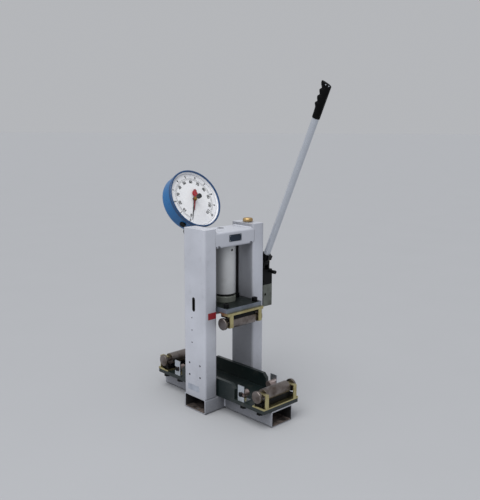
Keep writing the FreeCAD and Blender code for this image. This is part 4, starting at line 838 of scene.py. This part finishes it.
@dataclass
class Portal(Assembly):
    """Welded portal with its blank plates and weld beads."""

    weld_leg: float = 3.2 * MM
    weld_pitch: float = 2.4 * MM
    weld_sunk: float = 0.3 * MM
    weld_hollow: Pair = (0.62, 0.36)
    clear_half: float = 78.0 * MM
    outer_half: float = 128.0 * MM
    half_depth: float = 50.0 * MM
    section_corner: float = 7.0 * MM
    foot_half: float = 45.0 * MM
    foot_top: float = 50.0 * MM
    crosshead_top: float = 574.0 * MM
    flush_steps: int = 8
    flush_heights: tuple[float, ...] = (531, 540, 550, 560, 567, 569, 570.5, 572, 573, 573.6)
    flush_under: float = 0.02 * MM
    flush_gap: float = 0.15 * MM
    flush_into: float = 0.2 * MM
    slot_middle: float = 3.0 * MM
    slot_width: float = 7.6 * MM
    slot_low: float = 329.2 * MM
    slot_high: float = 368.8 * MM
    trim_width: float = 3.0 * MM
    trim_steps: int = 48
    trim_profile: tuple[tuple[bool, float], ...] = ((False, 2.5), (False, -0.12), (True, -0.12), (True, 0.1))
    plate_corner: float = 1.6 * MM
    plate_steps: int = 4
    plate_sunk: float = 0.1 * MM
    plate_bevel: float = 0.15 * MM
    rivet_inset: float = 3.0 * MM
    rivet_profile: tuple[Pair, ...] = ((0.0, 1.3), (0.8, 1.3), (1.2, 1.1), (1.5, 0.6))
    plates: tuple[Plate, ...] = (
        Plate("badge_plate", (0, -50, 551.2), (26, 0, 0), (0, 0, 10.8), 0.8, BADGE, "black_steel", True),
        Plate("rating_plate", (-128, 6, 76), (0, -27, 0), (0, 0, 9.5), 0.1, WORN_PLATE, "pale_steel"),
        Plate("red_film", (-98.5, -50, 316.5), (16.5, 0, 0), (0, 0, 10.5), 0.15, RED_FILM, "pointer_red"),
    )

    def finishes(self) -> dict[str, Finish]:
        """Lists the frame's finishes.

        Returns:
            The finish of each CAD node.
        """
        feet = ("base_cross_tube", "front_foot_tube", "rear_foot_tube")
        portal = ("left_column", "right_column", "crosshead")
        return {name: FRAME_PAINT for name in (*feet, *portal)} | {"filler_cap": BRASS}

    def build(self) -> None:
        """Adds the weld beads, the bare plates and the slot's trim."""
        self.welds()
        for plate in self.plates:
            self.plate(plate)
        self.slot_trim()

    def slot_trim(self) -> None:
        """Adds the black edge trim round the left column's slot."""
        inner = self.slot_width / 2
        reach = (self.slot_high - self.slot_low) / 2 - inner
        middle = Vector((-self.outer_half, self.slot_middle, (self.slot_high + self.slot_low) / 2))
        rings = []
        for step in range(self.trim_steps + 1):
            turn = 2 * math.pi * (step % self.trim_steps) / self.trim_steps
            away = Vector((0, math.cos(turn), math.sin(turn)))
            at = middle + Vector((0, 0, math.copysign(reach, math.sin(turn))))
            ring = []
            for wide, rise in self.trim_profile:
                half = inner + self.trim_width if wide else inner
                ring.append(at + away * half + Vector((rise * MM, 0, 0)))
            rings.append(ring)
        Mesher("slot_edge_trim").ring(rings).finish("frame", "seal_rubber", SEAL)

    def bead(self, name: str, path: list[Vector], out: Vector, up: Vector) -> None:
        """Adds one rippled fillet weld.

        Args:
            name: Name of the piece.
            path: Two ends of the inner corner that the weld fills.
            out: Unit vector along one wall, away from the corner.
            up: Unit vector along the other wall.
        """
        start, end = path
        ripples = (end - start).length / self.weld_pitch
        steps = max(4, round(ripples)) * 3
        sunk = -self.weld_sunk
        rings = []
        for i in range(steps + 1):
            share = i / steps
            ripple = 0.90 + 0.10 * abs(math.sin(math.pi * ripples * share))
            wander = 1.0 + 0.05 * math.sin(37.0 * share) + 0.03 * math.sin(91.0 * share + 1.0)
            taper = min(1.0, 8.0 * min(share, 1.0 - share) + 0.55)
            leg = self.weld_leg * ripple * wander * taper
            more, less = (share * leg for share in self.weld_hollow)
            section = ((sunk, sunk), (leg, sunk), (more, less), (less, more), (sunk, leg))
            at = start.lerp(end, share)
            rings.append([at + out * along + up * high for along, high in section])
        Mesher(name).tube(rings).finish("frame", "frame_paint", WELD, smooth=50.0)

    def welds(self) -> None:
        """Adds the welds at the columns' feet, the crosshead's ends and the foot tubes."""
        x_axis, y_axis, z_axis = Vector((1, 0, 0)), Vector((0, 1, 0)), Vector((0, 0, 1))
        reach = self.half_depth - self.section_corner
        ends = ((-1, "front"), (1, "rear"))
        for side, word in ((-1, "left"), (1, "right")):
            inner = side * self.clear_half
            for place, z in (("column_foot", self.foot_top), ("crosshead_top", self.crosshead_top)):
                path = [Vector((inner, -reach, z)), Vector((inner, reach, z))]
                self.bead(f"{word}_{place}_weld", path, x_axis * -side, z_axis)
            for end, place in ends:
                self.flush_weld(f"{word}_{place}_flush_weld", side, end)
        for side, word in ((-1, "left"), (1, "right")):
            for end, place in ends:
                heights = (self.section_corner, self.foot_top - self.section_corner)
                path = [Vector((side * self.foot_half, end * self.half_depth, z)) for z in heights]
                self.bead(f"{word}_{place}_foot_weld", path, x_axis * side, y_axis * end)

    def flush_weld(self, name: str, side: int, end: int) -> None:
        """Adds the weld, ground flush, that fills the groove between a column's corner and the crosshead.

        Args:
            name: Name of the piece.
            side: -1 for the left column, 1 for the right.
            end: -1 for the front, 1 for the rear.
        """
        corner = self.section_corner
        deep = self.half_depth - corner
        edge = self.clear_half - self.flush_into
        rings = []
        for height in self.flush_heights:
            over = max(0.0, height * MM - (self.crosshead_top - corner))
            front = deep + math.sqrt(corner**2 - over**2) - self.flush_under
            outline = []
            for step in range(self.flush_steps + 1):
                turn = math.radians(90.0 - 90.0 * step / self.flush_steps)
                x = self.clear_half + corner - (corner - self.flush_gap) * math.cos(turn)
                outline.append((x, min(front, deep + corner * math.sin(turn))))
            outline += [(edge, deep), (edge, front)]
            rings.append([Vector((side * x, end * y, height * MM)) for x, y in outline])
        Mesher(name).tube(rings).finish("frame", "frame_paint", FRAME_PAINT, smooth=50.0)

    def plate(self, plate: Plate) -> None:
        """Adds a bare plate and its rivets.

        Args:
            plate: Plate to add.
        """
        centre = Vector(plate.centre) * MM
        half_width = Vector(plate.half_width) * MM
        half_height = Vector(plate.half_height) * MM
        across = half_width.normalized()
        up = half_height.normalized()
        out = across.cross(up)
        beside = half_width - across * self.plate_corner
        above = half_height - up * self.plate_corner
        outline = []
        for sx, sy, start in ((1, 1, 0), (-1, 1, 90), (-1, -1, 180), (1, -1, 270)):
            at = centre + beside * sx + above * sy
            for step in range(self.plate_steps + 1):
                turn = math.radians(start + 90.0 * step / self.plate_steps)
                outline.append(at + (across * math.cos(turn) + up * math.sin(turn)) * self.plate_corner)
        foot = [p - out * self.plate_sunk for p in outline]
        sheet = Mesher(plate.name).slab(foot, out * (plate.thickness * MM + self.plate_sunk))
        sheet.finish("frame", plate.slot, plate.finish, bevel=self.plate_bevel)
        if not plate.riveted:
            return
        heads = Mesher(f"{plate.name}_rivets")
        beside = half_width - across * self.rivet_inset
        above = half_height - up * self.rivet_inset
        for sx in (-1, 1):
            for sy in (-1, 1):
                heads.turned(centre + beside * sx + above * sy, (out, across, up), self.rivet_profile, 16)
        heads.finish("frame", "pale_steel", PALE_STEEL)


@dataclass
class Bed(Assembly):
    """Bed plate, its cheeks, stops and bolts."""

    def finishes(self) -> dict[str, Finish]:
        """Lists the bed's finishes.

        Returns:
            The finish of each CAD node.
        """
        plates = {name: BED_PAINT for name in ("bed_plate", "left_bed_cheek", "right_bed_cheek")}
        corners = [f"{end}_{side}" for end in ("front", "rear") for side in ("left", "right")]
        stops = {f"{corner}_stop_bracket": PALE_STEEL for corner in corners}
        return plates | stops | {"bed_bolts": BED_BOLT, "stop_pins": STOP_PIN}


@dataclass
class Rollers(Assembly):
    """Four rollers with their saddles and guards."""

    def finishes(self) -> dict[str, Finish]:
        """Lists the finishes of rollers, saddles and guards.

        Returns:
            The finish of each CAD node.
        """
        kinds = {"roller": ROLLER_STEEL, "saddle": BLACK_STEEL, "guard": ZINC}
        sets = [f"{end}_{level}" for end in ("front", "rear") for level in ("lower", "upper")]
        return {f"{word}_{kind}": finish for word in sets for kind, finish in kinds.items()}


@dataclass
class Press(Assembly):
    """Cylinder, ram, platen and guide rods."""

    spring_wire: float = 4.4 * MM
    spring_turns: int = 8
    spring_steps: int = 32
    wire_points: int = 10
    stroke: float = 40 * MM

    def finishes(self) -> dict[str, Finish]:
        """Lists the press's finishes.

        Returns:
            The finish of each CAD node.
        """
        black = ("platen_screws", "bleed_screw", "ring_nut", "cylinder_gland")
        rods = ("left_guide_rod", "right_guide_rod")
        return {name: BLACK_STEEL for name in (*black, *rods)} | {
            "platen": PLATEN_STEEL,
            "spreader_block": BLOCK_PAINT,
            "cylinder_barrel": CYLINDER_PAINT,
            "ram": CHROME,
            "ram_seal": SEAL,
            "return_spring": SPRING,
            "guide_bushes": BRONZE,
        }

    def build(self) -> None:
        """Adds the round-wire return spring, a fixed coil on the frame, and hides the CAD node that it stands
        for.
        """
        low, high = (Vector(corner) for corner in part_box("return_spring"))
        radius = (high.x - low.x - self.spring_wire) / 2
        start = low.z + self.spring_wire / 2
        rise = high.z - low.z - self.spring_wire
        count = self.spring_turns * self.spring_steps
        rings = []
        for step in range(count + 1):
            turn = 2 * math.pi * step / self.spring_steps
            away = Vector((math.cos(turn), math.sin(turn), 0))
            centre = away * radius + Vector((0, 0, start + rise * step / count))
            rings.append(circle(centre, away, Vector((0, 0, 1)), self.spring_wire / 2, self.wire_points))
        piece = Mesher("return_spring_coil").tube(rings).finish("frame", "spring_steel", SPRING)
        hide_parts("return_spring")
        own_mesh(piece)


@dataclass
class HandPump(Assembly):
    """Pump body, lever and grip. The grip's sizes are in millimetres, its heights from the lever's pivot."""

    pivot: Point = (148 * MM, -31 * MM, 450 * MM)
    lean: float = 24.0
    grip_outline: tuple[Pair, ...] = (
        (513.0, 11.4), (514.5, 12.2), (530.0, 12.6), (545.0, 13.4), (549.5, 15.6), (554.0, 18.2), (557.0, 18.4),
        (560.0, 16.4), (562.0, 13.6), (565.0, 14.2), (571.0, 16.9), (576.0, 18.4), (579.0, 17.4), (582.5, 13.8),
        (586.0, 14.2), (592.0, 17.2), (597.0, 18.7), (600.0, 17.0), (603.0, 13.8), (607.0, 15.4), (612.0, 18.4),
        (618.0, 20.6), (622.0, 21.0),
    )
    grip_front: float = 12.2
    grip_half_width: float = 12.4
    grip_turn: float = 45.0
    grip_points: int = 48
    tip_slope: float = 17.0
    tip_slope_from: float = 604.0
    tip_round: float = 4.0
    dot_places: tuple[Pair, ...] = ((617.5, -7.4), (615.8, 3.0))
    dot_profile: tuple[Pair, ...] = ((-0.8, 1.8), (0.15, 1.8), (0.35, 1.26))
    along: Vector = field(init=False)
    ridged: Vector = field(init=False)
    side: Vector = field(init=False)

    def __post_init__(self) -> None:
        """Works out the directions along the lever, to the grip's ridges and to its side."""
        lean = math.radians(self.lean)
        turn = math.radians(self.grip_turn)
        self.along = Vector((0, -math.sin(lean), math.cos(lean)))
        rear = math.cos(turn)
        self.ridged = Vector((-math.sin(turn), rear * math.cos(lean), rear * math.sin(lean)))
        self.side = self.along.cross(self.ridged)

    def finishes(self) -> dict[str, Finish]:
        """Lists the pump's and the lever's finishes.

        Returns:
            The finish of each CAD node.
        """
        return {
            "pump_block": PUMP_ALLOY,
            "pump_head": BLACK_STEEL,
            "pivot_pin": ZINC,
            "release_valve": KNOB,
            "plunger": CHROME,
            "lever_socket": BLACK_STEEL,
            "crank_pin": ZINC,
            "lever_tube": LEVER_STEEL,
            "lever_grip": GRIP,
        }

    def build(self) -> None:
        """Adds the moulded grip and its two pale dots."""
        self.grip()
        self.dots()

    def section(self, distance: float, reach: float, inset: float = 0.0) -> list[Vector]:
        """Returns one cross-section of the grip.

        Args:
            distance: Distance from the lever's pivot.
            reach: How far the ridged side stands out.
            inset: How far the outline is drawn in.

        Returns:
            Points round the section.
        """
        centre = Vector(self.pivot) + self.along * (distance * MM)
        points = []
        for step in range(self.grip_points):
            turn = 2 * math.pi * step / self.grip_points
            outward = math.cos(turn)
            depth = (reach if outward > 0 else self.grip_front) - inset
            wide = math.sin(turn) * (self.grip_half_width - inset)
            points.append(centre + (self.ridged * (outward * depth) + self.side * wide) * MM)
        return points

    def grip(self) -> None:
        """Adds the rubber grip, its finger ridges towards the rear left and its end sloping."""
        rings = []
        for (start, low), (end, high) in zip(self.grip_outline, self.grip_outline[1:]):
            for share in (0.0, 1 / 3, 2 / 3):
                rings.append(self.section(start + (end - start) * share, low + (high - low) * share))
        last, reach = self.grip_outline[-1]
        rings.append(self.section(last, reach))
        for step in range(1, 6):
            turn = math.pi / 2 * step / 5
            inset = self.tip_round * (1 - math.cos(turn))
            rings.append(self.section(last + self.tip_round * math.sin(turn), reach, inset))
        slope = math.tan(math.radians(self.tip_slope))
        length = last + self.tip_round - self.tip_slope_from
        for ring in rings:
            for point in ring:
                offset = (point - Vector(self.pivot)) / MM
                share = max(0.0, (offset.dot(self.along) - self.tip_slope_from) / length)
                point -= self.along * ((reach - offset.dot(self.ridged)) * slope * share * MM)
        piece = Mesher("moulded_grip").tube(rings).finish("lever", "grip_rubber", GRIP, smooth=50.0)
        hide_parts("lever_grip")

    def dots(self) -> None:
        """Adds the two pale dots near the grip's end."""
        mesher = Mesher("grip_dots")
        for distance, across in self.dot_places:
            reach = self.grip_outline[-1][1] if across < 0 else self.grip_front
            depth = self.grip_half_width * math.sqrt(1 - (across / reach) ** 2)
            out = (self.side * depth - self.ridged * (across / 2)).normalized()
            at = Vector(self.pivot) + (self.along * distance - self.ridged * across + self.side * depth) * MM
            mesher.turned(at, (out, self.along, out.cross(self.along)), self.dot_profile, 20)
        mesher.finish("lever", "pale_steel", PALE_STEEL)


@dataclass(frozen=True)
class Scale:
    """One of the dial's scales, in millimetres; its marks are how far they reach in and out from the arc."""

    word: str
    ink: Finish
    numbers: int
    step: int
    arc: float
    bold: Pair
    middle: Pair
    small: Pair
    bold_width: float
    number_radius: float
    type_height: float


@dataclass
class Gauge(Assembly):
    """Tilting dial gauge with its printed dial. The print's widths and radii are in millimetres."""

    centre: Point = (0.0, 138 * MM, 660 * MM)
    tilt: float = 27.5
    case_radius: float = 98.5 * MM
    bezel_inside: float = 95 * MM
    ring_lap: Pair = (-0.2 * MM, 0.6 * MM)
    ring_gaps: Pair = (0.02 * MM, 0.1 * MM)
    glass_back: float = 5.5 * MM
    dial_depth: float = 11 * MM
    plug_depth: float = 28 * MM
    plug_sunk: float = 1.5 * MM
    plug_angles: Pair = (221.0, 139.0)
    plug_profile: tuple[Pair, ...] = ((0.0, 10.5), (5.2, 10.5), (6.6, 9.6), (7.0, 6.2), (5.8, 5.4), (5.8, 0.8))
    knob_from: float = 11.9 * MM
    stud_from: float = -5.6 * MM
    follower_angle: float = 203.0
    follower_depth: float = 6.3 * MM
    disc_distance: float = 20 * MM
    disc_profile: tuple[Pair, ...] = ((-0.75, 11.0), (-0.05, 11.0), (0.1, 10.23))
    print_rise: float = 0.12 * MM
    type_weight: float = 0.05
    fine_width: float = 0.55
    arc_width: float = 0.6
    outer_ring: float = 90.0
    outer_ring_width: float = 0.7
    zero: float = 212.0
    sweep: float = 286.0
    scales: tuple[Scale, Scale] = (
        Scale(
            "inner", INK, numbers=11, step=10, arc=70.0, bold=(3.0, 2.0), middle=(0.0, 2.4),
            small=(0.0, 1.6), bold_width=1.3, number_radius=62.0, type_height=13.0,
        ),
        Scale(
            "outer", SOFT_INK, numbers=10, step=1, arc=74.5, bold=(1.5, 2.6), middle=(2.2, 0.0),
            small=(1.4, 0.0), bold_width=1.1, number_radius=81.0, type_height=10.5,
        ),
    )
    out: Vector = field(init=False)
    up: Vector = field(init=False)
    face: Vector = field(init=False)

    def __post_init__(self) -> None:
        """Works out the dial's directions and the middle of its face."""
        turn = math.radians(self.tilt)
        self.out = Vector((0, -math.cos(turn), math.sin(turn)))
        self.up = Vector((0, math.sin(turn), math.cos(turn)))
        self.face = self.depth(self.dial_depth)

    def finishes(self) -> dict[str, Finish]:
        """Lists the gauge's finishes.

        Returns:
            The finish of each CAD node.
        """
        follower = FollowerFinish("follower_hand", self.centre, tuple(self.out), self.knob_from, self.stud_from)
        return {
            "gauge_case": GAUGE_BLUE,
            "gauge_bezel": SHADED_GAUGE_RIM,
            "gauge_glass": GLASS,
            "gauge_dial": DIAL,
            "gauge_movement": BRASS,
            "gauge_pointer": HAND_BLACK,
            "maximum_pointer": follower,
            "gauge_stem": BRASS,
            "gauge_bracket": BLACK_STEEL,
            "tilt_screw": KNOB,
        }

    def build(self) -> None:
        """Adds the dial's print, the white ring round it, the case's plugs and the follower's disc."""
        self.marks()
        self.arcs()
        self.numbers()
        self.white_ring()
        self.plugs()
        self.tail_disc()

    def depth(self, depth: float) -> Vector:
        """Returns the point on the gauge's axis at a depth behind the glass's front."""
        return Vector(self.centre) - self.out * depth

    def direction(self, degrees: float) -> tuple[Vector, Vector]:
        """Works out the directions at a place on the dial.

        Args:
            degrees: Angle from the dial's top.

        Returns:
            The outward and the clockwise direction.
        """
        turn = math.radians(degrees)
        right = Vector((1, 0, 0))
        radial = right * math.sin(turn) + self.up * math.cos(turn)
        clockwise = right * math.cos(turn) - self.up * math.sin(turn)
        return radial, clockwise

    def swept(
        self, section: list[tuple[Vector, float]], start: float = 0.0, sweep: float = 360.0
    ) -> list[list[Vector]]:
        """Sweeps a section round the gauge's axis.

        Args:
            section: Points on the axis and their distances from it.
            start: First angle from the dial's top, in degrees.
            sweep: Angle covered, in degrees.

        Returns:
            The section at every three degrees or so.
        """
        steps = round(sweep / 3)
        turns = [self.direction(start + sweep * i / steps)[0] for i in range(steps + 1)]
        return [[at + radial * radius for at, radius in section] for radial in turns]

    def arc(self, mesher: Mesher, radius: float, width: float, start: float, sweep: float) -> None:
        """Adds a thin printed arc.

        Args:
            mesher: Mesh to add to.
            radius: Middle radius in millimetres.
            width: Width of the line in millimetres.
            start: First angle from the dial's top, in degrees.
            sweep: Angle covered, in degrees.
        """
        inner, outer = (radius - width / 2) * MM, (radius + width / 2) * MM
        front = self.face + self.out * self.print_rise
        section = [(self.face, inner), (self.face, outer), (front, outer), (front, inner)]
        mesher.tube(self.swept(section, start, sweep), closed=sweep < 360.0)

    def arcs(self) -> None:
        """Adds the scales' arcs and the faint outer ring."""
        arcs = Mesher("dial_arcs")
        for scale in self.scales:
            self.arc(arcs, scale.arc, self.arc_width, self.zero, self.sweep)
        arcs.finish("gauge", "pointer_black", INK)
        outer = Mesher("dial_outer_ring")
        self.arc(outer, self.outer_ring, self.outer_ring_width, 0.0, 360.0)
        outer.finish("gauge", "pointer_black", FAINT_INK)

    def white_ring(self) -> None:
        """Adds the white distance ring between the dial and the glass."""
        inner, outer = (self.bezel_inside + lap for lap in self.ring_lap)
        back = self.face + self.out * self.ring_gaps[0]
        front = self.depth(self.glass_back + self.ring_gaps[1])
        rings = self.swept([(back, inner), (front, inner), (front, outer), (back, outer)])
        Mesher("dial_distance_ring").ring(rings).finish("gauge", "dial_white", DIAL)

    def plugs(self) -> None:
        """Adds the two black plugs in the case's side."""
        for number, degrees in enumerate(self.plug_angles, 1):
            radial, clockwise = self.direction(degrees)
            at = self.depth(self.plug_depth) + radial * (self.case_radius - self.plug_sunk)
            axes = (radial, clockwise, self.out)
            plug = Mesher(f"case_plug_{number}").turned(at, axes, self.plug_profile, 36)
            plug.finish("gauge", "knob_plastic", KNOB)

    def tail_disc(self) -> None:
        """Adds the red disc on the follower hand's tail."""
        radial, clockwise = self.direction(self.follower_angle + 180.0)
        at = self.depth(self.follower_depth) + radial * self.disc_distance
        disc = Mesher("follower_tail_disc").turned(at, (self.out, clockwise, radial), self.disc_profile, 48)
        disc.finish("maximum_hand", "pointer_red", HAND_RED)

    def mark(self, mesher: Mesher, degrees: float, arc: float, reach: Pair, width: float) -> None:
        """Adds one radial mark.

        Args:
            mesher: Mesh to add to.
            degrees: Angle from the dial's top.
            arc: Radius of the scale's arc.
            reach: How far the mark reaches in and out from the arc.
            width: Width of the mark.
        """
        radial, clockwise = self.direction(degrees)
        half = clockwise * (width / 2 * MM)
        low = self.face + radial * ((arc - reach[0]) * MM)
        high = self.face + radial * ((arc + reach[1]) * MM)
        mesher.slab([low - half, low + half, high + half, high - half], self.out * self.print_rise)

    def marks(self) -> None:
        """Adds the marks of both scales."""
        fine = Mesher("dial_fine_marks")
        bold = Mesher("dial_bold_marks")
        for scale in self.scales:
            count = scale.numbers * 10
            for i in range(count + 1):
                degrees = self.zero + self.sweep * i / count
                if i % 10 == 0:
                    self.mark(bold, degrees, scale.arc, scale.bold, scale.bold_width)
                else:
                    self.mark(fine, degrees, scale.arc, scale.small if i % 5 else scale.middle, self.fine_width)
        for mesher in (fine, bold):
            mesher.finish("gauge", "pointer_black", INK)

    def numbers(self) -> None:
        """Adds the plain numbers of both scales."""
        for scale in self.scales:
            for i in range(scale.numbers + 1):
                self.number(scale, i)

    def number(self, scale: Scale, i: int) -> None:
        """Adds one printed number, its foot towards the dial's centre.

        Args:
            scale: Scale that it belongs to.
            i: Its place on the scale, from 0.
        """
        name = f"dial_{scale.word}_number_{i}"
        curve = bpy.data.curves.new(name, "FONT")
        curve.body = str(scale.step * i)
        curve.size = scale.type_height * MM
        curve.align_x = "CENTER"
        curve.align_y = "CENTER"
        curve.extrude = self.print_rise / 2
        curve.offset = self.type_weight * curve.size
        holder = linked(f"{name}_curve", curve)
        bpy.context.view_layer.update()
        data = bpy.data.meshes.new_from_object(holder)
        bpy.data.objects.remove(holder)
        radial, clockwise = self.direction(self.zero + self.sweep * i / scale.numbers)
        at = self.face + radial * (scale.number_radius * MM) + self.out * (self.print_rise / 2)
        turn = Matrix((clockwise, radial, self.out)).transposed().to_4x4()
        data.transform(Matrix.Translation(at) @ turn)
        place_piece(name, data, "gauge", scale.ink)


@dataclass
class Studio:
    """Pale floor, soft lamps, world and the camera."""

    camera_place: Point = (-1.4655, -1.5877, 0.9038)
    yaw: float = 44.01
    pitch: float = 10.45
    roll: float = 0.25
    focal_pixels: float = 689.7
    frame_width: float = 480.0
    sensor_width: float = 36.0
    clip_end: float = 60.0
    floor_tone: Tone = (182, 184, 188)
    floor_half: float = 60.0
    floor_level: float = -0.2 * MM
    key_energy: float = 1.7
    key_angle: float = 50.0
    key_color: Point = (1.0, 0.99, 0.97)
    key_aim: Point = (0.33, 0.08, -0.94)
    soft_box_place: Point = (-1.9, -1.1, 1.9)
    soft_box_target: Point = (0.0, 0.0, 0.4)
    soft_box_size: float = 1.0
    soft_box_watts: float = 7.0
    world_color: Color = (0.460, 0.470, 0.490, 1.0)

    def build(self) -> None:
        """Makes the floor, lamps, world and camera."""
        self.floor()
        self.lamps()
        self.world()
        self.camera()

    def floor(self) -> None:
        """Adds the plain pale floor."""
        g = ShaderGraph("studio_floor")
        color = g.blend(g.noise(Pattern(3.0, 2.0)), linear(self.floor_tone), linear(self.floor_tone, 0.97))
        g.set(Base_Color=color, Roughness=0.7, Specular_IOR_Level=0.2)
        data = bpy.data.meshes.new("studio_floor")
        half = self.floor_half
        corners = ((-half, -half), (half, -half), (half, half), (-half, half))
        data.from_pydata([(x, y, self.floor_level) for x, y in corners], [], [(0, 1, 2, 3)])
        data.materials.append(g.material)
        piece = linked("studio_floor", data)

    def lamp(self, name: str, kind: str, energy: float, aim: Vector) -> bpy.types.Object:
        """Adds a lamp.

        Args:
            name: Name of the lamp.
            kind: Blender's name for its type.
            energy: How strong it is, in Blender's unit for the type.
            aim: Direction that it shines in.

        Returns:
            The lamp.
        """
        lamp = linked(name, bpy.data.lights.new(name, kind))
        lamp.data.energy = energy
        lamp.rotation_euler = aim.to_track_quat("-Z", "Y").to_euler()
        return lamp

    def lamps(self) -> None:
        """Adds the broad key light from the upper left and a weak lamp that the metal mirrors."""
        key = self.lamp("key_light", "SUN", self.key_energy, Vector(self.key_aim))
        key.data.angle = math.radians(self.key_angle)
        key.data.color = self.key_color
        aim = Vector(self.soft_box_target) - Vector(self.soft_box_place)
        box = self.lamp("soft_box", "AREA", self.soft_box_watts, aim)
        box.location = self.soft_box_place
        box.data.shape = "SQUARE"
        box.data.size = self.soft_box_size

    def world(self) -> None:
        """Sets the plain pale surroundings."""
        world = bpy.data.worlds.new("studio_world")
        world.use_nodes = True
        world.node_tree.nodes["Background"].inputs["Color"].default_value = self.world_color
        bpy.context.scene.world = world

    def camera(self) -> None:
        """Adds the camera that stands where the photographer's stood."""
        yaw, pitch, roll = (math.radians(v) for v in (self.yaw, self.pitch, self.roll))
        forward = Vector((math.sin(yaw) * math.cos(pitch), math.cos(yaw) * math.cos(pitch), -math.sin(pitch)))
        level = Vector((math.cos(yaw), -math.sin(yaw), 0.0))
        above = level.cross(forward)
        right = level * math.cos(roll) + above * math.sin(roll)
        up = above * math.cos(roll) - level * math.sin(roll)
        data = bpy.data.cameras.new("camera")
        data.sensor_fit = "HORIZONTAL"
        data.sensor_width = self.sensor_width
        data.lens = self.focal_pixels / self.frame_width * self.sensor_width
        data.clip_end = self.clip_end
        camera = linked("camera", data)
        turn = Matrix((right, up, -forward)).transposed().to_4x4()
        camera.matrix_world = Matrix.Translation(Vector(self.camera_place)) @ turn
        bpy.context.scene.camera = camera
        bpy.context.scene.view_settings.view_transform = "Standard"


def main() -> None:
    """Builds and dresses every sub-assembly in order."""
    logging.basicConfig(level=logging.INFO, format="%(message)s")
    for part in (Portal(), Bed(), Rollers(), Press(), HandPump(), Gauge()):
        part.dress()
        part.build()
    Studio().build()


if __name__ == "__main__":
    main()
